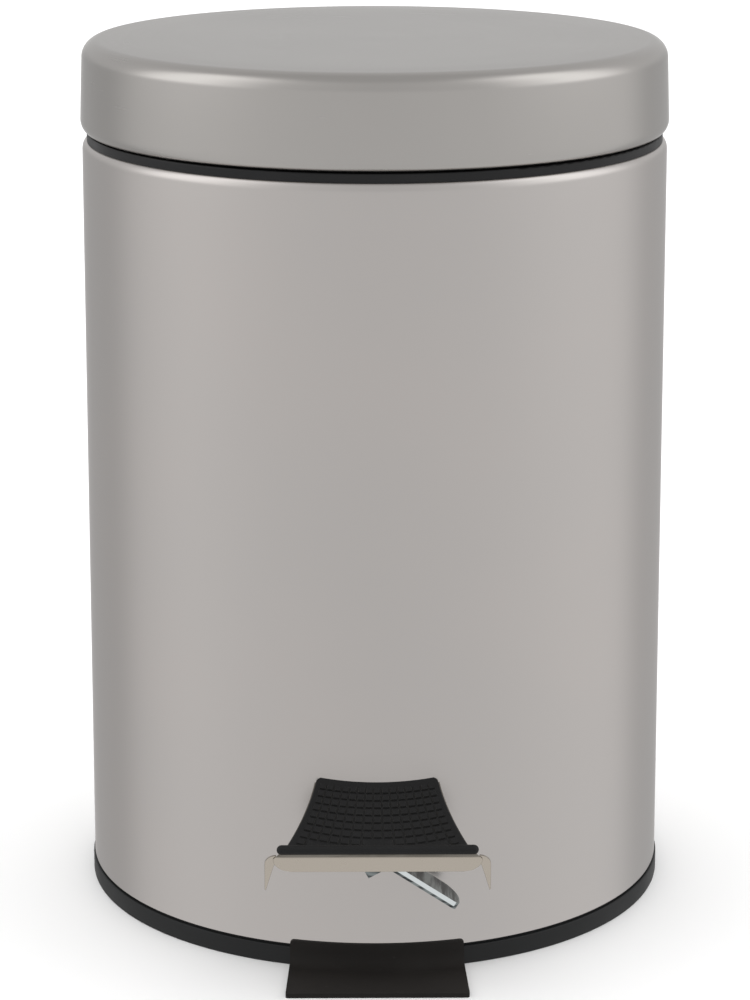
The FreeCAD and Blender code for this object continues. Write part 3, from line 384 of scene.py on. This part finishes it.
def above_painted_shade_line(tree, corner, slope, width):
    """1 above a painted dark line of shade, of a given width, that runs down from a corner (x, z) at a slope
    in degrees.
    """
    angle = math.radians(slope)
    split = add_node(tree, "ShaderNodeSeparateXYZ", {"Vector": place_of(tree)})
    across = math_node(tree, "MULTIPLY", split.outputs["X"], math.sin(angle))
    upward = math_node(tree, "MULTIPLY", split.outputs["Z"], math.cos(angle))
    start = (corner[0] * math.sin(angle) + corner[1] * math.cos(angle)) * MM
    height = math_node(tree, "SUBTRACT", math_node(tree, "ADD", across, upward), start)
    return mapped(tree, height, (width - 0.1) * MM, (width + 0.1) * MM, smooth=True)


def painted_light_strip(name, painted_lit_colour, painted_shade_colour, painted_shade_tint, roughness, relief=0.01, shade_line=None):
    """Thick cut strip with painted light: faces turned to the front take a bright painted highlight colour,
    the other faces a darker painted shade colour, streaked by rolling.
    """
    material, tree, shader = new_material(name, metallic=1.0)
    run = noise(tree, stretched(tree, place_of(tree), 160, 60, 900), 1.0, detail=5)
    mottle = noise(tree, place_of(tree), 420, detail=4)
    faces = two_tone(tree, mapped(tree, run, 0.38, 0.62, smooth=True), painted_shade_colour, painted_shade_tint)
    normal = add_node(tree, "ShaderNodeTexCoord").outputs["Normal"]
    forwards = add_node(tree, "ShaderNodeSeparateXYZ", {"Vector": normal}).outputs["Y"]
    # painted light: faces turned to the front get the painted highlight colour, all other faces the painted
    # shade colour
    front_lit = mapped(tree, forwards, -0.90, -0.98, smooth=True)
    # painted shade: below this line the front faces take the dark shade colour too
    if shade_line:
        front_lit = math_node(tree, "MULTIPLY", front_lit, above_painted_shade_line(tree, *shade_line))
    inputs = {"Fac": front_lit, "Color1": faces, "Color2": (*painted_lit_colour, 1)}
    colour = add_node(tree, "ShaderNodeMixRGB", inputs).outputs["Color"]
    tree.links.new(colour, shader.inputs["Base Color"])
    rough = mapped(tree, mottle, 0.3, 0.7, roughness - 0.03, roughness + 0.03)
    tree.links.new(rough, shader.inputs["Roughness"])
    bump(tree, shader, run, relief * MM)
    return material


def moulded_plastic(name, colour, dust, roughness, grain=2600, relief=0.02, specks=0.0, gloss=0.25):
    """Moulded plastic: a fine spark-eroded grain, uneven gloss, and light specks where dust sits."""
    material, tree, shader = new_material(name)
    clouds = noise(tree, place_of(tree), 45, detail=5, roughness=0.6)
    shader.inputs["Specular IOR Level"].default_value = gloss
    fine = noise(tree, place_of(tree), grain, detail=3)
    spots = mapped(tree, noise(tree, place_of(tree), 620, detail=2), 0.70, 0.78)
    veil = mapped(tree, clouds, 0.45, 0.75, 0.0, 0.35, smooth=True)
    dusting = math_node(tree, "ADD", veil, math_node(tree, "MULTIPLY", spots, specks), clamp=True)
    tree.links.new(two_tone(tree, dusting, colour, dust), shader.inputs["Base Color"])
    rough = mapped(tree, clouds, 0.3, 0.7, roughness - 0.06, roughness + 0.08)
    tree.links.new(rough, shader.inputs["Roughness"])
    bump(tree, shader, fine, relief * MM)
    return material


def make_materials():
    return {
        "body_steel": satin_steel(
            "body_steel", (0.645, 0.608, 0.585), (0.632, 0.601, 0.581), 0.30, relief=0.002
        ),
        "lid_steel": satin_steel(
            "lid_steel", (0.545, 0.523, 0.500), (0.530, 0.511, 0.490), 0.26, lines=1300, relief=0.002
        ),
        # painted light on the pedal plate: faces turned to the front, the lip, in the bright lit colour, all
        # other faces and the rounded edges in a darker painted shade colour
        "pedal_steel": painted_light_strip(
            "pedal_steel", (0.62, 0.56, 0.485), (0.23, 0.21, 0.18), (0.30, 0.275, 0.24), 0.25, relief=0.0005
        ),
        "zinc_steel": plated_steel("zinc_steel", (0.80, 0.86, 0.87), (0.62, 0.68, 0.70), 0.20),
        # painted light on the pedal stop: faces turned to the front near white, the other faces near black
        # with painted shade, and a painted dark shade line along the lower edge
        "stop_steel_painted_light": painted_light_strip(
            "stop_steel_painted_light", (0.93, 0.98, 0.99), (0.05, 0.055, 0.056), (0.30, 0.33, 0.33), 0.30, shade_line=STOP_SHADE_LINE
        ),
        "hinge_steel": plated_steel(
            "hinge_steel", (0.60, 0.59, 0.57), (0.52, 0.51, 0.50), 0.32, streaks=(30, 700, 700)
        ),
        "rivet_steel": plated_steel("rivet_steel", (0.68, 0.68, 0.67), (0.60, 0.60, 0.60), 0.26),
        "wire_steel": plated_steel("wire_steel", (0.72, 0.73, 0.74), (0.62, 0.63, 0.64), 0.22),
        "base_plastic": moulded_plastic(
            "base_plastic", (0.011, 0.0115, 0.0118), (0.018, 0.0185, 0.019), 0.46
        ),
        "foot_plastic": moulded_plastic(
            "foot_plastic", (0.0165, 0.0148, 0.0137), (0.026, 0.0235, 0.022), 0.50, specks=0.8, gloss=0.1
        ),
        "ring_plastic": moulded_plastic(
            "ring_plastic", (0.012, 0.012, 0.0125), (0.020, 0.020, 0.021), 0.38
        ),
        "bucket_plastic": moulded_plastic(
            "bucket_plastic", (0.040, 0.041, 0.044), (0.07, 0.072, 0.076), 0.52, grain=1500, relief=0.04
        ),
        "guide_nylon": moulded_plastic("guide_nylon", (0.70, 0.68, 0.62), (0.60, 0.58, 0.52), 0.45),
        "pad_rubber": moulded_plastic(
            "pad_rubber",
            (0.0085, 0.0085, 0.0088),
            (0.0150, 0.0150, 0.0155),
            0.55,
            grain=1800,
            relief=0.03,
            specks=0.3,
        ),
    }


# ---------------------------------------------------------------- mesh building


def arc(centre, radii, start, end, steps):
    """Points on an elliptical arc, between two angles in degrees."""
    points = []
    for i in range(steps + 1):
        angle = math.radians(start + (end - start) * i / steps)
        points.append((centre[0] + radii[0] * math.cos(angle), centre[1] + radii[1] * math.sin(angle)))
    return points


def spread(low, high, steps):
    """Evenly spaced values, ends included."""
    return [low + (high - low) * i / steps for i in range(steps + 1)]


def set_in(path, thickness):
    """The path moved to its right by a thickness: each point along the mean normal of its two sides."""
    moved = []
    for i, (a, b) in enumerate(path):
        before = path[max(i - 1, 0)]
        after = path[min(i + 1, len(path) - 1)]
        run = Vector((after[0] - before[0], after[1] - before[1])).normalized()
        moved.append((a - run.y * thickness, b + run.x * thickness))
    return moved


def round_z(radius, degrees, height):
    """A point at a radius about Z, at an angle from the front towards the right."""
    angle = math.radians(degrees)
    return Vector((radius * math.sin(angle), -radius * math.cos(angle), height))


def add_sheet(built, outer, inner, wrap=False, keep=lambda i, j: True):
    """A wall between two grids of points. A cell that keep() refuses is an opening."""
    rows, columns = len(outer), len(outer[0])
    last = rows if wrap else rows - 1
    front = [[built.verts.new(p) for p in row] for row in outer]
    back = [[built.verts.new(p) for p in row] for row in inner]

    def kept(i, j):
        i = i % rows if wrap else i
        return 0 <= i < last and 0 <= j < columns - 1 and keep(i, j)

    for i in range(last):
        for j in range(columns - 1):
            if not kept(i, j):
                continue
            k = (i + 1) % rows
            built.faces.new((front[i][j], front[k][j], front[k][j + 1], front[i][j + 1]))
            built.faces.new((back[i][j + 1], back[k][j + 1], back[k][j], back[i][j]))
            sides = (
                ((i, j - 1), (k, j), (i, j)),
                ((i, j + 1), (i, j + 1), (k, j + 1)),
                ((i - 1, j), (i, j), (i, j + 1)),
                ((i + 1, j), (k, j + 1), (k, j)),
            )
            for cell, a, b in sides:
                one, two = front[a[0]][a[1]], front[b[0]][b[1]]
                if not kept(*cell) and (one.co - two.co).length > 1e-6:
                    built.faces.new((one, two, back[b[0]][b[1]], back[a[0]][a[1]]))


def add_turned(built, section, steps=48, place=Matrix()):
    """A solid turned about Z from a closed (radius, height) section, then put in place."""
    rings = []
    for i in range(steps):
        rings.append([built.verts.new(place @ round_z(r, 360 * i / steps, z)) for r, z in section])
    count = len(section)
    for i in range(steps):
        for j in range(count):
            k, m = (i + 1) % steps, (j + 1) % count
            if section[j][0] > 0 or section[m][0] > 0:
                built.faces.new((rings[i][j], rings[k][j], rings[k][m], rings[i][m]))


def add_prism(built, outline, low, high, place=Matrix()):
    """A plate with a closed (x, y) outline between two heights, then put in place."""
    bottom = [built.verts.new(place @ Vector((x, y, low))) for x, y in outline]
    top = [built.verts.new(place @ Vector((x, y, high))) for x, y in outline]
    built.faces.new(top)
    built.faces.new(bottom[::-1])
    for i in range(len(outline)):
        k = (i + 1) % len(outline)
        built.faces.new((bottom[i], bottom[k], top[k], top[i]))


def piece(name, built, body, slot, stands_for, materials, sharp=32, edge=0):
    """Makes an object from a mesh in millimetres, on a body, in the place of CAD nodes."""
    bmesh.ops.remove_doubles(built, verts=built.verts, dist=1e-4)
    bmesh.ops.recalc_face_normals(built, faces=built.faces)
    bmesh.ops.scale(built, vec=(MM, MM, MM), verts=built.verts)
    mesh = bpy.data.meshes.new(name)
    built.to_mesh(mesh)
    built.free()
    mesh.shade_smooth()
    mesh.set_sharp_from_angle(angle=math.radians(sharp))
    mesh.materials.append(materials[slot])
    made = bpy.data.objects.new(name, mesh)
    scene.collection.objects.link(made)
    if edge:
        soften(made, edge)
    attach(made, body)
    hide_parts(*stands_for)
    return made


def soften(made, width, angle=40):
    """Rounds the sharp edges a little."""
    bevel = made.modifiers.new("edges", "BEVEL")
    bevel.width = width * MM
    bevel.segments = 2
    bevel.limit_method = "ANGLE"
    bevel.angle_limit = math.radians(angle)
    bevel.harden_normals = True


# ---------------------------------------------------------------- body and lid


def turn_angles(*edges):
    """Angles right round, in degrees from the front, with the given ones among them."""
    step = 360 / TURN_STEPS
    angles = [a * step - 180 for a in range(TURN_STEPS)]
    angles = [a for a in angles if all(abs(a - e) > step / 3 for e in edges)]
    return sorted(angles + list(edges))


def body_shell(materials):
    """The steel cylinder: slot in front, notch behind, soft top edge curled down over the ring."""
    top = BODY_HIGH.z
    slot_angle = math.degrees(math.asin(SLOT_HALF / BODY_RADIUS))
    notch_angle = 180 - math.degrees(math.asin(NOTCH_HALF / BODY_RADIUS))
    angles = turn_angles(-slot_angle, slot_angle, -notch_angle, notch_angle)
    levels = [BODY_LOW.z, *SLOT_HEIGHTS, 120.0, NOTCH_BOTTOM]
    path = [(BODY_RADIUS, z) for z in levels]
    edge = (BODY_EDGE_WIDTH, BODY_EDGE_HEIGHT)
    path += arc((BODY_RADIUS - edge[0], top - edge[1]), edge, 0, 90, 12)
    path += arc((BODY_CURL_INSIDE + BODY_CURL, top - BODY_CURL), (BODY_CURL, BODY_CURL), 90, 180, 6)
    path.append((BODY_CURL_INSIDE, top - BODY_CURL_DEPTH))
    hidden = set_in(path, BODY_SHEET)
    outer = [[round_z(r, a, z) for r, z in path] for a in angles]
    inner = [[round_z(r, a, z) for r, z in hidden] for a in angles]

    def keep(i, j):
        angle = (angles[i] + angles[(i + 1) % len(angles)]) / 2 if i + 1 < len(angles) else 180
        height = (path[j][1] + path[j + 1][1]) / 2
        in_slot = abs(angle) < slot_angle and SLOT_HEIGHTS[0] < height < SLOT_HEIGHTS[1]
        in_notch = abs(angle) > notch_angle and (height > NOTCH_BOTTOM or j > len(levels))
        return not in_slot and not in_notch

    built = bmesh.new()
    add_sheet(built, outer, inner, wrap=True, keep=keep)
    piece("body_cylinder", built, "body", "body_steel", ["body_shell"], materials)


def lid_shell(materials):
    """The drawn lid: flat top, rounded shoulder, tapered side and an edge rolled inwards."""
    top_radius = LID_RADIUS - LID_TAPER
    path = [(r, LID_HIGH.z) for r in (0, 12, 30, 50, 66)]
    shoulder = (LID_SHOULDER, LID_SHOULDER)
    path += arc((top_radius - LID_SHOULDER, LID_HIGH.z - LID_SHOULDER), shoulder, 90, 0, 14)
    roll = (LID_ROLL_WIDTH, LID_ROLL_HEIGHT)
    path += arc((LID_RADIUS - roll[0], LID_LOW.z + roll[1]), roll, 0, -90, 12)
    hidden = set_in(path, -LID_SHEET)
    hidden[0] = (0, hidden[0][1])
    angles = turn_angles()
    outer = [[round_z(r, a, z) for r, z in path] for a in angles]
    inner = [[round_z(r, a, z) for r, z in hidden] for a in angles]
    built = bmesh.new()
    add_sheet(built, outer, inner, wrap=True)
    piece("lid_cover", built, "lid", "lid_steel", ["lid_shell"], materials)


# ---------------------------------------------------------------- base and foot


def base_tray(materials):
    """The base moulding, with a shadow groove under the steel."""
    ledge = BODY_LOW.z
    upstand = BODY_RADIUS - BODY_SHEET - UPSTAND_PLAY
    inner = upstand - UPSTAND_WALL
    groove = BASE_RADIUS - SEAM_DEPTH
    round_edge = (BASE_EDGE, BASE_EDGE)
    section = [(0, 0), (HUB_RADIUS, 0), (HUB_RADIUS, RECESS), (RIM_RADIUS, RECESS), (RIM_RADIUS, 0)]
    section += arc((BASE_RADIUS - BASE_EDGE, BASE_EDGE), round_edge, -90, 0, 4)
    section += arc((BASE_RADIUS - BASE_EDGE, ledge - SEAM_HEIGHT - BASE_EDGE), round_edge, 0, 90, 4)
    section += [(groove, ledge - SEAM_HEIGHT), (groove, ledge), (upstand, ledge), (upstand, BASE_HIGH.z)]
    section += [(inner, BASE_HIGH.z), (inner, FLOOR_TOP), (BOSS_RADIUS, FLOOR_TOP)]
    section += [(BOSS_RADIUS, BOSS_TOP), (0, BOSS_TOP)]
    built = bmesh.new()
    add_turned(built, section, TURN_STEPS)
    piece("base_moulding", built, "body", "base_plastic", ["base_tray"], materials)


def front_foot(materials):
    """The anti-tip foot: a thin plate on the floor and a curved wall that clips round the base."""
    inside = BASE_RADIUS + FOOT_PLAY
    reach = -FOOT_LOW.y
    flare = FOOT_HIGH.x
    edge_angle = math.degrees(math.asin(FOOT_HALF / inside))
    outline = [(x, y) for x, y, _ in (round_z(inside, a, 0) for a in spread(edge_angle, -edge_angle, 24))]
    corner = (FOOT_TIP, FOOT_TIP)
    outline += arc((-flare + FOOT_TIP, -reach + FOOT_TIP), corner, 180, 270, 5)
    outline += arc((flare - FOOT_TIP, -reach + FOOT_TIP), corner, 270, 360, 5)
    built = bmesh.new()
    add_prism(built, outline, 0, FOOT_PLATE)
    corner_angle = math.degrees(FOOT_CORNER / inside)
    ends = [corner_angle * (1 - math.cos(math.radians(t))) for t in spread(0, 90, 6)]
    straight = edge_angle - corner_angle
    angles = [e - edge_angle for e in ends]
    angles += spread(-straight, straight, 30)[1:-1]
    angles += [edge_angle - e for e in reversed(ends)]

    def height(angle):
        near = min(edge_angle - abs(angle), corner_angle) / corner_angle
        return FOOT_TOP - FOOT_CORNER * (1 - math.sqrt(max(0.0, 1 - (1 - near) ** 2)))

    def in_front(angle, radius, z):
        """A point straight in front of the base at an angle, where it meets a larger radius."""
        x = inside * math.sin(math.radians(angle))
        return Vector((x, -math.sqrt(radius**2 - x**2), z))

    wall = inside + FOOT_WALL
    fillet = arc((wall + FOOT_FILLET, FOOT_PLATE + FOOT_FILLET), (FOOT_FILLET, FOOT_FILLET), 270, 180, 10)
    path = [(wall + FOOT_FILLET, 0)] + fillet
    outer = [[in_front(a, r, z) for r, z in path + [(wall, height(a))]] for a in angles]
    inner = [[round_z(inside, a, z) for z in [z for _, z in path] + [height(a)]] for a in angles]
    add_sheet(built, outer, inner)
    foot = piece("anti_tip_foot", built, "body", "foot_plastic", ["front_foot"], materials, edge=0.22)
    foot.visible_glossy = False


# ---------------------------------------------------------------- pedal


def on_pedal(x, along, above):
    """A point on the pedal: across it, along its slope from the front edge, and above its top face."""
    y = PEDAL_FRONT_Y + along * math.cos(PEDAL_TILT) - above * math.sin(PEDAL_TILT)
    z = PEDAL_FRONT_Z + along * math.sin(PEDAL_TILT) + above * math.cos(PEDAL_TILT)
    return Vector((x, y, z))


def along_at_wall(x, above, radius):
    """How far along the slope a surface above the plate meets a cylinder about Z."""
    y = -math.sqrt(radius**2 - x**2)
    return (y - PEDAL_FRONT_Y + above * math.sin(PEDAL_TILT)) / math.cos(PEDAL_TILT)


def neck_half(along):
    """Half the pad's width, which spreads in a curve from the back to the front."""
    share = (PAD_BACK - along) / PAD_RUN
    return PAD_BACK_HALF + PAD_SPREAD * share + PAD_FLARE * share**2


def ear_outline(side):
    """An ear seen from the front, from the bar down: a rounded shoulder that narrows into a point."""
    top = PEDAL_FRONT_Z
    shoulder = arc((EAR_START, top - EAR_ROUND[1]), EAR_ROUND, 90, 0, 8)
    tip = [(EAR_OUTSIDE, top - EAR_DROP), (EAR_OUTSIDE - EAR_TIP, top - EAR_DROP - EAR_TIP)]
    inside = [(EAR_NECK_X, top - EAR_NECK), (EAR_START, top - EAR_NECK + 0.8)]
    outline = [(side * x, -z) for x, z in shoulder + tip + inside]
    return outline if side < 0 else outline[::-1]


def pedal_plate(materials):
    """The bent plate: a lip in front, a bar with an ear down at each end, and a neck under the pad."""
    up = Vector((0, -math.sin(PEDAL_TILT), math.cos(PEDAL_TILT)))
    front = Vector((0, -1, 0))
    turn = math.pi / 2 - PEDAL_TILT
    setback = PEDAL_BEND * math.tan(turn / 2)
    stations = []
    for rise in spread(0, LIP_CORNER[1], 9)[:-1] + [LIP_HEIGHT - setback]:
        below = max(0.0, LIP_CORNER[1] - rise) / LIP_CORNER[1]
        half = LIP_HALF - LIP_CORNER[0] * (1 - math.sqrt(1 - below**2))
        stations.append((Vector((0, PEDAL_FRONT_Y, PEDAL_FRONT_Z - LIP_HEIGHT + rise)), front, half))
    centre = Vector((0, PEDAL_FRONT_Y + PEDAL_BEND, PEDAL_FRONT_Z - setback))
    for share in spread(0.15, 0.85, 4):
        outward = Vector((0, -math.cos(turn * share), math.sin(turn * share)))
        stations.append((centre + outward * PEDAL_BEND, outward, LIP_HALF - BAR_INSET * share))
    for along in spread(setback, BAR_DEPTH, 3):
        stations.append((on_pedal(0, along, 0), up, LIP_HALF - BAR_INSET))

    neck_start = BAR_DEPTH + 0.05

    def grid(inset):
        rows = []
        for t in spread(-1, 1, 24):
            row = [base + Vector((t * half, 0, 0)) - outward * inset for base, outward, half in stations]
            for share in spread(0, 1, 14):
                along = neck_start
                for _ in range(6):
                    x = t * (neck_half(along) + NECK_MARGIN)
                    end = along_at_wall(x, 0, PEDAL_BACK_RADIUS)
                    along = neck_start + (end - neck_start) * share
                row.append(on_pedal(x, along, -inset))
            rows.append(row)
        return rows

    built = bmesh.new()
    add_sheet(built, grid(0), grid(PEDAL_SHEET))
    upright = Matrix.Rotation(-math.pi / 2, 4, "X")
    for side in (-1, 1):
        set_back = Matrix.Translation((0, PEDAL_FRONT_Y + EAR_SETBACK, 0)) @ upright
        add_prism(built, ear_outline(side), 0, PEDAL_SHEET, set_back)
    # the rounded edges turn away from the front and so take the painted shade colour
    piece("pedal_tread", built, "pedal", "pedal_steel", ["pedal_plate"], materials, edge=0.28)


def stud_lines(places, half_top, half_foot):
    """Grid lines over a row of studs, as (place, stud number where the line is on a stud's top)."""
    lines = []
    for number, middle in enumerate(places):
        lines.append((middle - half_foot, None))
        lines.append((middle - half_top, number))
        lines.append((middle + half_top, number))
        lines.append((middle + half_foot, None))
    return lines


def pedal_pad(materials):
    """The rubber pad: square studs in rows along the wall's curve, and a round bead along the front."""
    pitch = 2 * STUD_FIELD / STUD_COLUMNS
    columns = [(k - (STUD_COLUMNS - 1) / 2) * pitch for k in range(STUD_COLUMNS)]
    across = stud_lines(columns, STUD_TOP * pitch, STUD_FOOT * pitch)
    across = [(-1.0, None), (-PAD_MARGIN, None)] + across + [(PAD_MARGIN, None), (1.0, None)]
    rows = [STUD_FIRST + k * STUD_PITCH for k in range(STUD_ROWS)]
    down = stud_lines(rows, STUD_TOP * STUD_PITCH, STUD_FOOT * STUD_PITCH)
    down = [(w, None) for w in (0, 0.12, 0.3, 0.6, 1.0)] + down
    height = PAD_THICKNESS

    def spot(share, behind):
        """(x, along) at a share of the half-width and a distance in front of the back edge."""
        along = PAD_RUN / 2
        cut = max(0.0, PAD_CORNER - behind)
        rounding = PAD_CORNER - math.sqrt(PAD_CORNER**2 - cut**2)
        for _ in range(8):
            x = share * (neck_half(along) - rounding)
            along = along_at_wall(x, height, PAD_BACK_RADIUS) - behind
        return x, max(along, BEAD_ALONG)

    def clear(share, row):
        """Whether a whole stud fits behind the bead."""
        front_edge = STUD_FIRST + (row + 0.4) * STUD_PITCH
        return spot(share, front_edge)[1] > BEAD_ALONG + BEAD_RADIUS

    top, bottom = [], []
    for share, column in across:
        top_row, bottom_row = [], []
        for behind, row in down:
            x, along = spot(share, behind)
            raised = STUD_HEIGHT if column is not None and row is not None and clear(share, row) else 0
            at_edge = abs(share) == 1 or behind == 0
            top_row.append(on_pedal(x, along, height + raised - (PAD_EDGE_DROP if at_edge else 0)))
            bottom_row.append(on_pedal(x, along, PAD_LIFT))
        top.append(top_row)
        bottom.append(bottom_row)
    built = bmesh.new()
    add_sheet(built, top, bottom)
    bmesh.ops.dissolve_degenerate(built, dist=1e-3, edges=built.edges)
    ends = arc((0, BEAD_HALF - BEAD_RADIUS), (BEAD_RADIUS, BEAD_RADIUS), 90, 0, 8)
    section = ends + [(r, -z) for r, z in reversed(ends)]
    lay = Matrix.Translation(on_pedal(0, BEAD_ALONG, BEAD_RADIUS)) @ Matrix.Rotation(math.pi / 2, 4, "Y")
    add_turned(built, section, 28, lay)
    pad = piece("tread_pad", built, "pedal", "pad_rubber", ["pedal_pad"], materials, sharp=28)
    pad.visible_glossy = False


# ---------------------------------------------------------------- rivets


def rivet(built, degrees, height, inside, outside, inner_head=True):
    """A rivet through the wall, along a radius about Z, with a domed head on the outside."""
    dome = arc((0, outside), (RIVET_HEAD_RADIUS, RIVET_HEAD), 90, 0, 6)
    section = dome + [(RIVET_RADIUS, outside)]
    if inner_head:
        section += [(RIVET_RADIUS, inside)]
        section += arc((0, inside), (RIVET_HEAD_RADIUS, RIVET_HEAD), 0, -90, 6)
    else:
        section += [(RIVET_RADIUS, inside), (0, inside)]
    angle = math.radians(degrees)
    outward = Vector((math.sin(angle), -math.cos(angle), 0))
    lay = Matrix.Translation((0, 0, height)) @ outward.to_track_quat("Z", "Y").to_matrix().to_4x4()
    add_turned(built, section, 28, lay)


def rivets(materials):
    body_inside = BODY_RADIUS - BODY_SHEET
    built = bmesh.new()
    for height in BRACKET_RIVETS:
        rivet(built, 180, height, body_inside, BODY_RADIUS + HINGE_SHEET)
    piece("hinge_rivets_lower", built, "body", "rivet_steel", ["body_hinge_rivets"], materials)
    built = bmesh.new()
    for height in GUIDE_RIVETS:
        rivet(built, GUIDE_ANGLE, height, body_inside - GUIDE_SHANK, BODY_RADIUS, inner_head=False)
    piece("guide_rivets_domed", built, "body", "rivet_steel", ["guide_rivets"], materials)
    built = bmesh.new()
    for rise in LID_RIVETS:
        rivet(built, 180, LID_LOW.z + rise, LID_RADIUS - LID_GRIP, LID_RADIUS + HINGE_SHEET)
    piece("hinge_rivets_upper", built, "lid", "rivet_steel", ["lid_hinge_rivets"], materials)


# ---------------------------------------------------------------- CAD nodes that stay

SOFT_EDGED = {
    "pedal_stop": 0.4,
    "body_hinge_bracket": 0.25,
    "lid_hinge_arm": 0.25,
    "pivot_bracket": 0.25,
    "pedal_lever": 0.2,
}


def finish_cad_nodes(materials):
    slots = {part["node"]: part["material_slot"] for part in frame["record"]["subparts"]}
    for name, node in frame["nodes"].items():
        node.data.materials.clear()
        # the pedal stop takes the material with painted light and shade in place of its slot's
        node.data.materials.append(materials["stop_steel_painted_light" if name == "pedal_stop" else slots[name]])
        if name in SOFT_EDGED:
            soften(node, SOFT_EDGED[name])


# ---------------------------------------------------------------- build

add_camera()
add_world()
add_floor()
add_overhead_light()
finishes = make_materials()
finish_cad_nodes(finishes)
for make in (body_shell, lid_shell, base_tray, front_foot, pedal_plate, pedal_pad, rivets):
    make(finishes)
